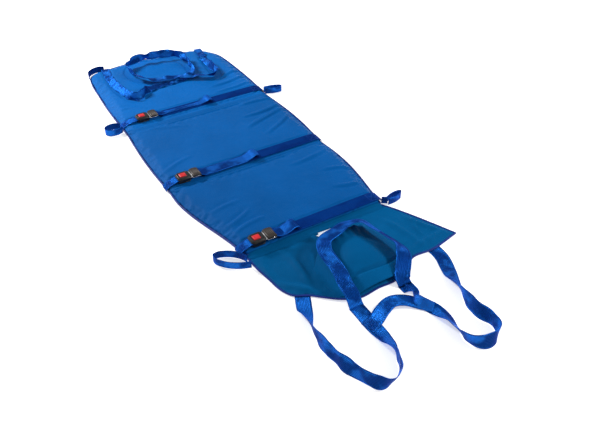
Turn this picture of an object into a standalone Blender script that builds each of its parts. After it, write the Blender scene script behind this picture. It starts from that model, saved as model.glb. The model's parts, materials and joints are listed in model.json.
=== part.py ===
"""Fold-up evacuation mat: three padded panels, a foot apron with a foot pocket, three
buckled patient straps, side carry loops, a head drag handle and a foot harness.

Metres, +Z up. +X is the patient's left-to-right direction, +Y points to the head end, and
the origin is on the underside of the mat, in the middle of the seam between torso and hips.
"""

import math

import bpy
import bmesh
import numpy as np
from mathutils import Matrix, Vector

# ---------------------------------------------------------------- driving dimensions
SEAM_HEAD = 0.434  # y of the seam between head and torso panels
SEAM_MIDDLE = 0.0  # y of the seam between torso and hips panels
SEAM_FOOT = -0.423  # y of the seam between hips panel and foot apron
LEFT_EDGE, RIGHT_EDGE = -0.305, 0.315  # the mat's sides at the two upper seams
FOOT_LEFT, FOOT_RIGHT = -0.228, 0.284  # its sides at the foot seam
SEAM_GAP = 0.00075  # half the gap between two neighbouring panels

PAD_TOP = 0.020  # height of the crowned panels
BINDING_HEIGHT = 0.010
BINDING_THICK = 0.0025
BASE_THICK = 0.001
BOARD_THICK = 0.003
COVER_THICK = 0.0012
GAP = 0.0003  # clearance between pieces that touch on the real mat

STRAP_GROUND = PAD_TOP + GAP  # the straps lie on the crowned covers
FOLD_UNDER = -0.0003  # height of the folds that close underneath
FOLD_OVER = 0.033  # height of the fold that closes on top, where the buckles keep it open

WEB_WIDTH = 0.048
WEB_THICK = 0.0014
LOOP_WIDTH = 0.028
LOOP_HINGE_Z = 0.018
HANDLE_WIDTH = 0.036

APRON_LOW = 0.0026
APRON_THICK = 0.0012
POCKET_LEFT, POCKET_RIGHT = -0.085, 0.200
POCKET_MOUTH, POCKET_TOE = -0.500, -0.730
POCKET_HEIGHT = 0.042
FLOOR_WEB = GAP + WEB_THICK / 2  # the middle of webbing that lies on the floor
HARNESS_HINGE_Y = -0.775  # the harness lifts off the floor about this line
HARNESS_LEFT_X = -0.206  # where the two roots and the two ends of the arch cross that line
HARNESS_RIGHT_X = 0.268
ARCH_LEFT_X = -0.054
ARCH_RIGHT_X = 0.117
HANDLE_HINGE_Y = 0.974  # the drag handle lifts about its two sewn ends

CASING_LENGTH = 0.050
CASING_WIDTH = 0.046
CASING_HEIGHT = 0.0185
BASE_PLATE = 0.0025
TONGUE_LEVEL = 0.0085  # the underside of the tongue above the cover
TONGUE_THICK = 0.0020
BUTTON_LEVEL = 0.0150  # the underside of the button above the cover
LATCH_LEVEL = 0.0062  # the latch's pivot above the cover
LATCH_TOOTH = 0.0100  # the latch's tooth from the casing's middle
TONGUE_FRAME = 0.0340  # the tongue's frame outside the casing

BLUE = (0.010, 0.125, 0.450)
DEEP_BLUE = (0.012, 0.042, 0.300)
WEB_BLUE = (0.005, 0.050, 0.330)
NAVY = (0.003, 0.032, 0.250)
TEAL = (0.001, 0.100, 0.270)
BLACK = (0.012, 0.013, 0.014)
RED = (0.760, 0.050, 0.060)
STEEL = (0.620, 0.620, 0.640)
BRONZE = (0.060, 0.048, 0.040)
FOAM = (0.720, 0.700, 0.620)
BOARD = (0.300, 0.320, 0.340)
BASE = (0.010, 0.020, 0.120)


# ---------------------------------------------------------------- small tools
def clear_scene():
    for thing in list(bpy.data.objects):
        bpy.data.objects.remove(thing, do_unlink=True)


def finish_of(name, colour, roughness, metallic=0.0):
    """A plain Principled material of the piece's own."""
    made = bpy.data.materials.new(name)
    made.use_nodes = True
    shader = made.node_tree.nodes["Principled BSDF"]
    shader.inputs["Base Color"].default_value = (*colour, 1.0)
    shader.inputs["Roughness"].default_value = roughness
    shader.inputs["Metallic"].default_value = metallic
    made.diffuse_color = (*colour, 1.0)
    return made


def add_piece(name, points, faces, finish):
    """One object from points and faces, with its faces turned outwards."""
    mesh = bpy.data.meshes.new(name)
    mesh.from_pydata([tuple(p) for p in points], [], faces)
    bm = bmesh.new()
    bm.from_mesh(mesh)
    bmesh.ops.recalc_face_normals(bm, faces=bm.faces)
    bm.to_mesh(mesh)
    bm.free()
    piece = bpy.data.objects.new(name, mesh)
    bpy.context.scene.collection.objects.link(piece)
    mesh.materials.append(finish_of(name, *finish))
    return piece


def loft(rings, closed_ends=True):
    """Points and faces through rings of equal length, capped at both ends."""
    count = len(rings[0])
    points = [p for ring in rings for p in ring]
    faces = []
    for level in range(len(rings) - 1):
        low, high = level * count, (level + 1) * count
        for i in range(count):
            j = (i + 1) % count
            faces.append((low + i, low + j, high + j, high + i))
    if closed_ends:
        faces.append(tuple(reversed(range(count))))
        faces.append(tuple(range((len(rings) - 1) * count, len(rings) * count)))
    return points, faces


def at_height(outline, z):
    return [(x, y, z) for x, y in outline]


def slab(name, outline, low, high, finish):
    return add_piece(name, *loft([at_height(outline, low), at_height(outline, high)]), finish)


def band_round(name, outer, inner, low, high, finish):
    """A closed hoop between two outlines, such as an edge tape."""
    rings = [at_height(outer, low), at_height(outer, high), at_height(inner, high),
             at_height(inner, low)]
    points, faces = loft(rings, closed_ends=False)
    count = len(outer)
    for i in range(count):
        j = (i + 1) % count
        faces.append((3 * count + i, 3 * count + j, j, i))
    return add_piece(name, points, faces, finish)


def cut(piece, *cutters):
    """Takes the cutters' shapes out of the piece; the cutters stay as hidden guides."""
    for tool in cutters:
        tool.hide_render = True
        tool.display_type = "WIRE"
        step = piece.modifiers.new("cut", "BOOLEAN")
        step.operation = "DIFFERENCE"
        step.solver = "EXACT"
        step.object = tool


def box(name, low, high, finish=(BLACK, 0.5)):
    """An axis-aligned block from its lowest to its highest corner."""
    (x0, y0, z0), (x1, y1, z1) = low, high
    return slab(name, [(x0, y0), (x1, y0), (x1, y1), (x0, y1)], z0, z1, finish)


def pivot(name, place, parent=None):
    """An empty on a joint's axis, hung from the pivot of the body it is joined to."""
    made = bpy.data.objects.new("pivot_" + name, None)
    made.location = place
    bpy.context.scene.collection.objects.link(made)
    if parent:
        hang(parent, made)
    return made


def hang(holder, *pieces):
    """Parents the pieces to a pivot without moving them."""
    for piece in pieces:
        piece.parent = holder
        piece.matrix_parent_inverse = Matrix.Translation(-holder.location)


def smooth_path(stations, steps):
    """A smooth curve through the stations, each a point with a tilt angle."""
    given = [np.array(s, float) for s in stations]
    lengths = [np.linalg.norm(b[:3] - a[:3]) for a, b in zip(given, given[1:])]
    slopes = [(b - a) / length for a, b, length in zip(given, given[1:], lengths)]
    tangents = [slopes[0]]
    for i in range(1, len(slopes)):
        before, after = lengths[i - 1], lengths[i]
        tangents.append((slopes[i - 1] * after + slopes[i] * before) / (before + after))
    tangents.append(slopes[-1])
    path = []
    for i, length in enumerate(lengths):
        a, b = given[i], given[i + 1]
        for k in range(steps):
            t = k / steps
            here = (a * (2 * t ** 3 - 3 * t ** 2 + 1) + b * (3 * t ** 2 - 2 * t ** 3)
                    + tangents[i] * length * (t ** 3 - 2 * t ** 2 + t)
                    + tangents[i + 1] * length * (t ** 3 - t ** 2))
            # height and tilt never overshoot, so a band that lies flat stays flat
            here[2:] = np.clip(here[2:], np.minimum(a, b)[2:], np.maximum(a, b)[2:])
            path.append(here)
    path.append(given[-1])
    return path


def webbing(name, stations, finish, width=WEB_WIDTH, thick=WEB_THICK, steps=3):
    """A flat band along (x, y, z, tilt) stations. Tilt 0 lies flat, 90 degrees stands on edge."""
    path = smooth_path(stations, steps)
    rings = []
    for i, here in enumerate(path):
        before, after = path[max(i - 1, 0)], path[min(i + 1, len(path) - 1)]
        along = Vector(after[:3] - before[:3]).normalized()
        level = along.cross(Vector((0, 0, 1))).normalized()
        rise = level.cross(along).normalized()
        tilt = math.radians(here[3])
        across = level * math.cos(tilt) + rise * math.sin(tilt)
        normal = along.cross(across).normalized()
        centre = Vector(here[:3])
        half, deep = across * width / 2, normal * thick / 2
        rings.append([tuple(centre - half - deep), tuple(centre + half - deep),
                      tuple(centre + half + deep), tuple(centre - half + deep)])
    return add_piece(name, *loft(rings), finish)


# ---------------------------------------------------------------- outlines
def bowed(start, end, bow, count, ease=False):
    """Points from start to end, bowed sideways; the last point is left to the next stretch."""
    (x0, y0), (x1, y1) = start, end
    made = []
    for k in range(count):
        v = k / count
        share = v * v * (3 - 2 * v) if ease else v
        made.append((x0 + (x1 - x0) * share + bow * math.sin(math.pi * v),
                     y0 + (y1 - y0) * v))
    return made


def arc(centre, radius, start, end, count):
    return [(centre[0] + radius * math.cos(math.radians(start + (end - start) * k / count)),
             centre[1] + radius * math.sin(math.radians(start + (end - start) * k / count)))
            for k in range(count + 1)]


def torso_outline():
    low, high = SEAM_MIDDLE + SEAM_GAP, SEAM_HEAD - SEAM_GAP
    right = bowed((RIGHT_EDGE, low), (RIGHT_EDGE, high), 0.014, 5)
    left = bowed((LEFT_EDGE, high), (LEFT_EDGE, low), -0.008, 5)
    return right + [(RIGHT_EDGE, high)] + left + [(LEFT_EDGE, low)]


def hips_outline():
    low, high = SEAM_FOOT + SEAM_GAP, SEAM_MIDDLE - SEAM_GAP
    right = bowed((FOOT_RIGHT, low), (RIGHT_EDGE, high), 0.019, 6, ease=True)
    left = bowed((LEFT_EDGE, high), (FOOT_LEFT, low), -0.010, 6, ease=True)
    return right + [(RIGHT_EDGE, high)] + left + [(FOOT_LEFT, low)]


def head_outline():
    low, end_y = SEAM_HEAD + SEAM_GAP, 1.014
    right_radius, left_radius = 0.168, 0.082
    right_middle = (0.145, end_y - right_radius)
    left_middle = (-0.217, end_y - left_radius)
    right = bowed((RIGHT_EDGE, low), (right_middle[0] + right_radius, right_middle[1]), 0.007, 4)
    right_corner = arc(right_middle, right_radius, 0, 90, 6)
    run = right_middle[0] - left_middle[0]
    end = [(right_middle[0] - run * v, end_y + 0.020 * math.sin(math.pi * v))
           for v in (0.25, 0.5, 0.75)]
    left_corner = arc(left_middle, left_radius, 90, 180, 4)
    left = bowed((left_middle[0] - left_radius, left_middle[1]), (LEFT_EDGE, low), -0.008, 4)[1:]
    return right + right_corner + end + left_corner + left + [(LEFT_EDGE, low)]


def apron_outline():
    """The foot apron flares to its right corner, and its foot edge is wavy."""
    return [(FOOT_LEFT, SEAM_FOOT - SEAM_GAP), (-0.225, -0.480), (-0.216, -0.541),
            (-0.205, -0.604), (-0.190, -0.634), (-0.148, -0.660), (-0.109, -0.694),
            (-0.079, -0.718), (-0.025, -0.742), (0.046, -0.738), (0.098, -0.740),
            (0.162, -0.716), (0.209, -0.688), (0.283, -0.690), (0.402, -0.668),
            (0.369, -0.592), (0.334, -0.515), (0.301, -0.452),
            (FOOT_RIGHT, SEAM_FOOT - SEAM_GAP)]


def inset(outline, side, seam=None):
    """The outline moved inwards: by side, or by seam along the edges that lie on a seam."""
    seam = side if seam is None else seam
    count = len(outline)
    edges = []
    for i in range(count):
        (x0, y0), (x1, y1) = outline[i], outline[(i + 1) % count]
        length = math.hypot(x1 - x0, y1 - y0)
        along = ((x1 - x0) / length, (y1 - y0) / length)
        flat = abs(y1 - y0) < 1e-9 and length > 0.3
        depth = seam if flat else side
        inward = (-along[1], along[0])
        edges.append((x0 + inward[0] * depth, y0 + inward[1] * depth, *along))
    made = []
    for i in range(count):
        ax, ay, adx, ady = edges[i - 1]
        bx, by, bdx, bdy = edges[i]
        turn = adx * bdy - ady * bdx
        if abs(turn) < 1e-4:
            made.append((bx, by))
            continue
        t = ((bx - ax) * bdy - (by - ay) * bdx) / turn
        made.append((ax + adx * t, ay + ady * t))
    return made


# ---------------------------------------------------------------- panels
def panel(name, outline):
    """Base sheet, stiffener board, foam pad, crowned top cover and edge binding."""
    rim = BINDING_THICK + GAP
    base = slab(name + "_base_sheet", inset(outline, rim), 0.0, BASE_THICK, (BASE, 0.5))
    board_low = BASE_THICK + GAP
    board = slab(name + "_stiffener_board", inset(outline, 0.008), board_low,
                 board_low + BOARD_THICK, (BOARD, 0.45))

    # each ring of the pad and of its cover: depth from the sides, from the seams, and height
    def stack(shape):
        return [at_height(inset(outline, side, seam), z) for side, seam, z in shape]

    pad = stack(((0.0052, 0.0052, board_low + BOARD_THICK + GAP), (0.0052, 0.0052, 0.0070),
                 (0.0145, 0.0075, 0.0135), (0.0310, 0.0135, PAD_TOP - COVER_THICK - GAP)))
    foam = add_piece(name + "_foam_pad", *loft(pad), (FOAM, 0.9))

    lining = rim + COVER_THICK
    outside = stack(((rim, rim, board_low), (rim, rim, 0.0090), (0.0125, 0.0060, 0.0160),
                     (0.0300, 0.0120, PAD_TOP)))
    inside = stack(((lining, lining, board_low), (lining, lining, 0.0082),
                    (0.0133, 0.0066, 0.0147), (0.0300, 0.0120, PAD_TOP - COVER_THICK)))
    # one skin: down the inside from the ceiling, round the rim and up the outside
    cover = add_piece(name + "_cover", *loft(list(reversed(inside)) + outside), (BLUE, 0.45))

    binding = band_round(name + "_edge_binding", outline, inset(outline, BINDING_THICK),
                         0.0, BINDING_HEIGHT, (DEEP_BLUE, 0.5))
    return base, board, foam, cover, binding


# ---------------------------------------------------------------- patient straps
def cut_corners(x0, x1, y, half, corner):
    """A rectangle with cut corners about the line at y, as the casing's outline."""
    return [(x0 + corner, y - half), (x1 - corner, y - half), (x1, y - half + corner),
            (x1, y + half - corner), (x1 - corner, y + half), (x0 + corner, y + half),
            (x0, y + half - corner), (x0, y - half + corner)]


def buckle(name, casing_x, y, body):
    """The casing with its red button, the button's spring and the latch below the tongue."""
    rear, front = casing_x - CASING_LENGTH / 2, casing_x + CASING_LENGTH / 2
    side, wall = CASING_WIDTH / 2, 0.0022
    ground = STRAP_GROUND
    base_top, shell_top = ground + BASE_PLATE, ground + CASING_HEIGHT
    tongue_low = ground + TONGUE_LEVEL
    tongue_top = tongue_low + TONGUE_THICK

    base = slab(name + "_buckle_base", cut_corners(rear, front, y, side, 0.008), ground,
                base_top, (BLACK, 0.4))

    inside = cut_corners(rear + wall, front - wall, y, side - wall, 0.007)
    outside = cut_corners(rear, front, y, side, 0.008)
    roof = cut_corners(rear + 0.004, front - 0.003, y, side - 0.004, 0.007)
    shell = add_piece(name + "_buckle_shell", *loft([
        at_height(inside, shell_top - wall), at_height(inside, base_top + GAP),
        at_height(outside, base_top + GAP), at_height(outside, shell_top - 0.005),
        at_height(roof, shell_top)]), (BLACK, 0.35))
    button_x = casing_x - 0.002
    window = box("guide_" + name + "_window", (button_x - 0.0135, y - 0.0120, shell_top - 0.006),
                 (button_x + 0.0135, y + 0.0120, shell_top + 0.004))
    mouth = box("guide_" + name + "_mouth", (front - 0.010, y - 0.0193, tongue_low - 0.0006),
                (front + 0.006, y + 0.0193, tongue_top + 0.0006))
    slot = box("guide_" + name + "_slot", (rear - 0.006, y - 0.0194, ground + 0.0072),
               (rear + 0.010, y + 0.0194, ground + 0.0108))
    cut(shell, window, mouth, slot)

    # the press button fills the window, proud of the shell by a millimetre or two
    button_low = ground + BUTTON_LEVEL
    square = ((-1, -1), (1, -1), (1, 1), (-1, 1))
    button = add_piece(name + "_press_button", *loft([
        [(button_x + sx * half, y + sy * (half - 0.0014), z) for sx, sy in square]
        for half, z in ((0.0118, button_low), (0.0118, shell_top + 0.0008),
                        (0.0105, shell_top + 0.0018))]), (RED, 0.35))
    hang(pivot(name + "_button", (button_x, y, button_low), body), button)

    # a bowed leaf spring between the tongue's path and the button's underside
    spring_low, thick = tongue_top + GAP, 0.0005
    leaf = []
    for k in range(7):
        x = button_x - 0.009 + 0.003 * k
        z = spring_low + (button_low - GAP - thick - spring_low) * math.sin(math.pi * k / 6)
        leaf.append([(x, y - 0.003, z), (x, y + 0.003, z),
                     (x, y + 0.003, z + thick), (x, y - 0.003, z + thick)])
    spring = add_piece(name + "_button_spring", *loft(leaf), (STEEL, 0.3, 1.0))

    # the latch pivots near the casing's rear, with a tooth just under the tongue's window
    pivot_x, pivot_z = casing_x - 0.020, ground + LATCH_LEVEL
    tooth_x, tooth_top = casing_x + LATCH_TOOTH, tongue_low - 0.0004
    profile = [(pivot_x - 0.0015, pivot_z - 0.0012), (tooth_x + 0.003, pivot_z - 0.0012),
               (tooth_x + 0.003, tooth_top), (tooth_x, tooth_top),
               (tooth_x - 0.003, pivot_z + 0.0006), (pivot_x - 0.0015, pivot_z + 0.0006)]
    latch = add_piece(name + "_latch_plate", *loft([[(x, y + half, z) for x, z in profile]
                                                    for half in (-0.006, 0.006)]),
                      (STEEL, 0.35, 1.0))
    hang(pivot(name + "_latch", (pivot_x, y, pivot_z), body), latch)
    return base, shell, spring


def tongue(name, casing_x, y):
    """The tongue's blade, which lies in the casing, and its frame with the ribbed adjuster."""
    front = casing_x + CASING_LENGTH / 2
    low = STRAP_GROUND + TONGUE_LEVEL
    top = low + TONGUE_THICK
    tip, shoulder, end = casing_x - 0.0005, front + 0.003, front + TONGUE_FRAME
    outline = [(tip, y - 0.0145), (tip + 0.004, y - 0.0185), (shoulder, y - 0.0185),
               (shoulder, y - 0.0230), (end, y - 0.0230), (end, y + 0.0230),
               (shoulder, y + 0.0230), (shoulder, y + 0.0185), (tip + 0.004, y + 0.0185),
               (tip, y + 0.0145)]
    plate = slab(name + "_tongue", outline, low, top, (STEEL, 0.2, 1.0))
    catch = casing_x + LATCH_TOOTH
    cut(plate, box("guide_" + name + "_catch", (catch - 0.0045, y - 0.0075, low - 0.003),
                   (catch + 0.0065, y + 0.0075, top + 0.003)))

    # the adjuster's arched back has a groove between every two ribs
    ribs, foot, start = 5, top + GAP, front + 0.0055
    pitch = (end - start) / ribs
    back = [(start - 0.0015, foot), (end + 0.002, foot)]
    for k in range(ribs, -1, -1):
        crest = foot + 0.0085 * math.sin(math.pi * (0.25 + 0.5 * k / ribs))
        back.append((start + pitch * k, crest))
        if k:
            back.append((start + pitch * (k - 0.5), crest - 0.0011))
    adjuster = add_piece(name + "_adjuster", *loft([[(x, y + half, z) for x, z in back]
                                                    for half in (-0.0225, 0.0225)]),
                         (BRONZE, 0.5, 0.3))
    return plate, adjuster


def strap(name, casing_x, y, left_edge, right_edge, curl_x, body=None):
    """One patient strap along X: buckle, tongue, anchor, band and the tail over the band."""
    fixed = buckle(name, casing_x, y, body)
    web = (WEB_BLUE, 0.4)
    ground = STRAP_GROUND
    rear = casing_x - CASING_LENGTH / 2
    end = casing_x + CASING_LENGTH / 2 + TONGUE_FRAME
    edge_top = BINDING_HEIGHT + GAP + WEB_THICK / 2
    anchor_high = ground + 0.0090
    anchor = webbing(name + "_strap_anchor", [
        (left_edge + 0.0010, y, edge_top + 0.0002, 0), (left_edge + 0.0070, y, 0.0155, 0),
        (left_edge + 0.0160, y, 0.0205, 0), (left_edge + 0.0300, y, ground + 0.0040, 0),
        (rear - 0.0020, y, anchor_high, 0), (rear + 0.0060, y, anchor_high, 0)],
        web, width=0.038, steps=2)

    lying = ground + WEB_THICK / 2
    band = webbing(name + "_strap_band", [
        (end + 0.0100, y, lying, 0), (right_edge - 0.0310, y, lying, 0),
        (right_edge - 0.0160, y, 0.0190, 0), (right_edge - 0.0065, y, 0.0148, 0),
        (right_edge - 0.0010, y, edge_top + 0.0004, 0)], (NAVY, 0.45), steps=2)

    over = lying + WEB_THICK + GAP * 2
    tail = webbing(name + "_strap_tail", [
        (end + 0.0030, y, ground + TONGUE_LEVEL + 0.0010, 0), (end + 0.0180, y, over + 0.0020, 0),
        (end + 0.0400, y, over, 0), (curl_x - 0.0450, y, over, 0),
        (curl_x - 0.0220, y, over + 0.0080, 0), (curl_x - 0.0060, y, over + 0.0150, 0),
        (curl_x + 0.0060, y, over + 0.0110, 0), (curl_x + 0.0100, y, over + 0.0030, 0)],
        web, steps=2)
    hang(pivot(name + "_tongue", (casing_x, y, ground + TONGUE_LEVEL), body),
         *tongue(name, casing_x, y), tail)
    if body:
        hang(body, *fixed, anchor, band)


# ---------------------------------------------------------------- loops, handle and harness
def carry_loop(name, root, tip, spread, body):
    """A side loop: out from the mat's edge, round and back, standing on its edge."""
    start, end = Vector((*root, 0)), Vector((*tip, 0))
    out = (end - start).normalized()
    edge, beside = Vector((0, 1, 0)), Vector((-out.y, out.x, 0))
    if beside.y < 0:
        beside.negate()
    height = LOOP_WIDTH / 2 + 0.0006
    stations = []
    for share, offset in ((0.0, -0.55), (0.30, -0.90), (0.70, -0.85), (0.93, -0.45),
                          (1.0, 0.0), (0.93, 0.45), (0.70, 0.85), (0.30, 0.90),
                          (0.0, 0.55)):
        sideways = edge.lerp(beside, min(share * 2, 1.0)).normalized()
        where = start.lerp(end, share) + sideways * offset * spread / 2
        stations.append((where.x, where.y, height, 90))
    loop = webbing(name, stations, (WEB_BLUE, 0.4), width=LOOP_WIDTH, steps=2)
    hang(pivot(name, (*root, LOOP_HINGE_Z), body), loop)


def on_ground(route, ground, width):
    """Stations from (x, y, tilt, lift): the webbing's lower edge is this much above the ground."""
    return [(x, y, ground + lift + WEB_THICK / 2
             + abs(math.sin(math.radians(tilt))) * width / 2, tilt) for x, y, tilt, lift in route]


def head_handle(body):
    """The long drag strap: sewn at both head corners, and laid in one loose standing turn."""
    route = on_ground([
        (-0.215, 0.966, 0, 0), (-0.222, 0.912, 0, 0), (-0.225, 0.846, -20, 0),
        (-0.223, 0.783, -45, 0), (-0.214, 0.720, -60, 0), (-0.202, 0.672, -70, 0),
        (-0.178, 0.652, -80, 0), (-0.150, 0.668, -70, 0), (-0.120, 0.698, -45, 0),
        (-0.076, 0.716, -15, 0), (-0.016, 0.722, 0, 0), (0.044, 0.724, 0, 0),
        (0.092, 0.737, 25, 0), (0.119, 0.776, 60, 0.002), (0.128, 0.830, 80, 0.005),
        (0.128, 0.885, 86, 0.009), (0.104, 0.930, 88, 0.012), (0.052, 0.954, 88, 0.014),
        (-0.008, 0.964, 88, 0.014), (-0.066, 0.965, 88, 0.014), (-0.110, 0.948, 86, 0.012),
        (-0.131, 0.908, 82, 0.010), (-0.130, 0.862, 70, 0.010), (-0.116, 0.818, 45, 0.011),
        (-0.090, 0.782, 15, 0.012), (-0.050, 0.758, 0, 0.012), (0.010, 0.748, 0, 0.012),
        (0.074, 0.724, 0, 0.012), (0.124, 0.698, 10, 0.012), (0.164, 0.678, 35, 0.006),
        (0.192, 0.682, 62, 0), (0.204, 0.716, 66, 0), (0.207, 0.765, 45, 0),
        (0.212, 0.830, 15, 0), (0.221, 0.890, 0, 0), (0.232, 0.966, 0, 0)],
        PAD_TOP + 0.0008, HANDLE_WIDTH)
    handle = webbing("head_drag_handle", route, (WEB_BLUE, 0.4), width=HANDLE_WIDTH, steps=2)
    hang(pivot("head_handle", (0, HANDLE_HINGE_Y, STRAP_GROUND), body), handle)


def corner_loop():
    """The small loop round the head's left corner, outside the binding."""
    middle, radius, level = (-0.217, 0.932), 0.082, LOOP_WIDTH / 2 + 0.0006
    stations = []
    for angle, clear in ((152, 0.0025), (142, 0.0120), (128, 0.0180), (112, 0.0195),
                         (98, 0.0165), (86, 0.0045)):
        turn = math.radians(angle)
        stations.append((middle[0] + (radius + clear) * math.cos(turn),
                         middle[1] + (radius + clear) * math.sin(turn), level, 90))
    return webbing("head_corner_loop", stations, (NAVY, 0.5), width=LOOP_WIDTH, steps=2)


def pocket_toe(x):
    """The pocket's toe line: it keeps inside the apron's foot edge, which bends up at both ends."""
    return POCKET_TOE + 8.5 * min(x + 0.020, 0.0) ** 2 + 3.6 * max(x - 0.085, 0.0) ** 2


def foot_pocket():
    """A domed pouch on the apron, open towards the hips for the feet to go in."""
    foot = APRON_LOW + APRON_THICK + GAP
    skin = 0.0014
    columns, rows = 12, 7
    middle = 0.5 * (POCKET_RIGHT + POCKET_LEFT)
    wide = 0.5 * (POCKET_RIGHT - POCKET_LEFT)
    rings = []
    for k in range(rows + 1):
        v = (k / rows) ** 0.8
        narrow = wide * (1 - 0.10 * v ** 3)
        fullness = 1 - (1 - min((1 - v) / 0.30, 1.0)) ** 2
        high = POCKET_HEIGHT * (0.35 + 0.65 * fullness)
        outer, hollow = [], []
        for c in range(columns + 1):
            turn = math.pi * c / columns
            side, top = -math.cos(turn), math.sin(turn) ** 0.8
            side = math.copysign(abs(side) ** 0.8, side)
            x = middle + narrow * side
            y = POCKET_MOUTH + (pocket_toe(x) - POCKET_MOUTH) * v
            outer.append((x, y, foot + high * top))
            hollow.append((middle + (narrow - skin) * side, y, foot + (high - skin) * top))
        rings.append(outer + list(reversed(hollow)))
    return add_piece("foot_pocket", *loft(rings), (TEAL, 0.5))


def foot_apron():
    outline = apron_outline()
    apron = slab("foot_apron", inset(outline, BINDING_THICK + GAP), APRON_LOW,
                 APRON_LOW + APRON_THICK, (TEAL, 0.5))
    gap = [(0.000, -0.440), (0.034, -0.488), (0.092, -0.480), (0.100, -0.446)]
    opening = slab("guide_apron_opening", gap, -0.01, 0.03, (BLACK, 0.5))
    cut(apron, opening)
    binding = band_round("foot_apron_binding", outline, inset(outline, BINDING_THICK),
                         APRON_LOW - 0.0004, APRON_LOW + APRON_THICK + 0.0010,
                         (DEEP_BLUE, 0.5))
    return apron, binding


def to_hinge(x, side, tilt=0):
    """Three stations straight to the harness hinge, from the apron (1) or the loops (-1)."""
    return [(x, HARNESS_HINGE_Y + side * step, FLOOR_WEB, tilt)
            for step in (0.016, 0.008, 0.0008)]


def from_hinge(x, side):
    return list(reversed(to_hinge(x, side)))


def harness_roots():
    """The webbing that stays with the apron: two roots under it and the arch over the pocket."""
    left = webbing("harness_left_root", [
        (-0.118, -0.520, FLOOR_WEB, 0), (-0.140, -0.600, FLOOR_WEB, 0),
        (-0.170, -0.680, FLOOR_WEB, 0), (-0.198, -0.735, FLOOR_WEB, 0)]
        + to_hinge(HARNESS_LEFT_X, 1), (WEB_BLUE, 0.4), steps=2)
    right = webbing("harness_right_root", [
        (0.256, -0.520, FLOOR_WEB, 0), (0.272, -0.600, FLOOR_WEB, 0),
        (0.280, -0.680, FLOOR_WEB, 0), (0.276, -0.735, FLOOR_WEB, 0)]
        + to_hinge(HARNESS_RIGHT_X, 1), (WEB_BLUE, 0.4), steps=2)

    climb = [(-0.768, FLOOR_WEB), (-0.759, 0.0060), (-0.752, 0.0150)]  # y and z at each end
    up = [(ARCH_LEFT_X, y, z, 0) for y, z in climb]
    down = [(ARCH_RIGHT_X, y, z, 0) for y, z in reversed(climb)]
    # it lies flat up the left, and leans on its edge over the top and down to the right
    arch = webbing("harness_arch", [(ARCH_LEFT_X, HARNESS_HINGE_Y + 0.0008, FLOOR_WEB, 0)] + up + [
        (ARCH_LEFT_X, -0.738, 0.0300, 0), (-0.051, -0.700, 0.0380, 0),
        (-0.042, -0.655, 0.0470, 0), (-0.038, -0.605, 0.0500, 0), (-0.034, -0.555, 0.0500, 0),
        (-0.012, -0.515, 0.0520, 12), (0.036, -0.504, 0.0540, 38), (0.094, -0.498, 0.0540, 44),
        (0.130, -0.512, 0.0595, 46), (0.146, -0.565, 0.0595, 50), (0.163, -0.620, 0.0560, 44),
        (0.173, -0.660, 0.0500, 28), (0.163, -0.693, 0.0425, 10), (0.140, -0.722, 0.0335, 0),
        (0.122, -0.742, 0.0228, 0)] + down
        + [(ARCH_RIGHT_X, HARNESS_HINGE_Y + 0.0008, FLOOR_WEB, 0)], (WEB_BLUE, 0.4),
        width=0.044, steps=2)
    return left, right, arch


def harness_loops():
    """The two pull loops beyond the foot edge, half twisted, and the strap stitched across."""
    left = webbing("harness_left_loop", from_hinge(HARNESS_LEFT_X, -1) + on_ground([
        (-0.207, -0.812, 45, 0), (-0.213, -0.845, 85, 0), (-0.213, -0.885, 103, 0),
        (-0.202, -0.942, 105, 0), (-0.180, -0.988, 104, 0), (-0.147, -1.020, 100, 0),
        (-0.110, -1.030, 90, 0), (-0.078, -1.010, 74, 0), (-0.066, -0.966, 108, 0),
        (-0.058, -0.922, 145, 0), (-0.051, -0.880, 180, 0), (-0.050, -0.830, 180, 0)],
        GAP, WEB_WIDTH) + to_hinge(ARCH_LEFT_X, -1, 180), (WEB_BLUE, 0.4), steps=2)
    right = webbing("harness_right_loop", from_hinge(ARCH_RIGHT_X, -1) + on_ground([
        (0.113, -0.802, 20, 0), (0.109, -0.824, 0, 0), (0.110, -0.842, 0, 0), (0.122, -0.878, 0, 0),
        (0.134, -0.912, 0, 0), (0.131, -0.960, 35, 0), (0.124, -0.998, 60, 0),
        (0.133, -1.032, 92, 0), (0.155, -1.052, 106, 0), (0.190, -1.055, 104, 0),
        (0.220, -1.034, 86, 0), (0.228, -0.990, 74, 0), (0.222, -0.935, 84, 0),
        (0.218, -0.890, 112, 0), (0.226, -0.852, 140, 0), (0.244, -0.820, 165, 0)],
        GAP, WEB_WIDTH) + to_hinge(HARNESS_RIGHT_X, -1, 180), (WEB_BLUE, 0.4), steps=2)
    stitched = FLOOR_WEB + WEB_THICK + GAP
    cross = webbing("harness_cross_strap", [
        (-0.074, -0.842, stitched, 0), (-0.040, -0.832, stitched, 0),
        (-0.002, -0.814, 0.0090, 0), (0.036, -0.804, 0.0120, 0), (0.072, -0.816, 0.0090, 0),
        (0.106, -0.846, stitched, 0), (0.130, -0.876, stitched, 0)],
        (WEB_BLUE, 0.4), width=0.044, steps=2)
    return left, right, cross


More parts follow.
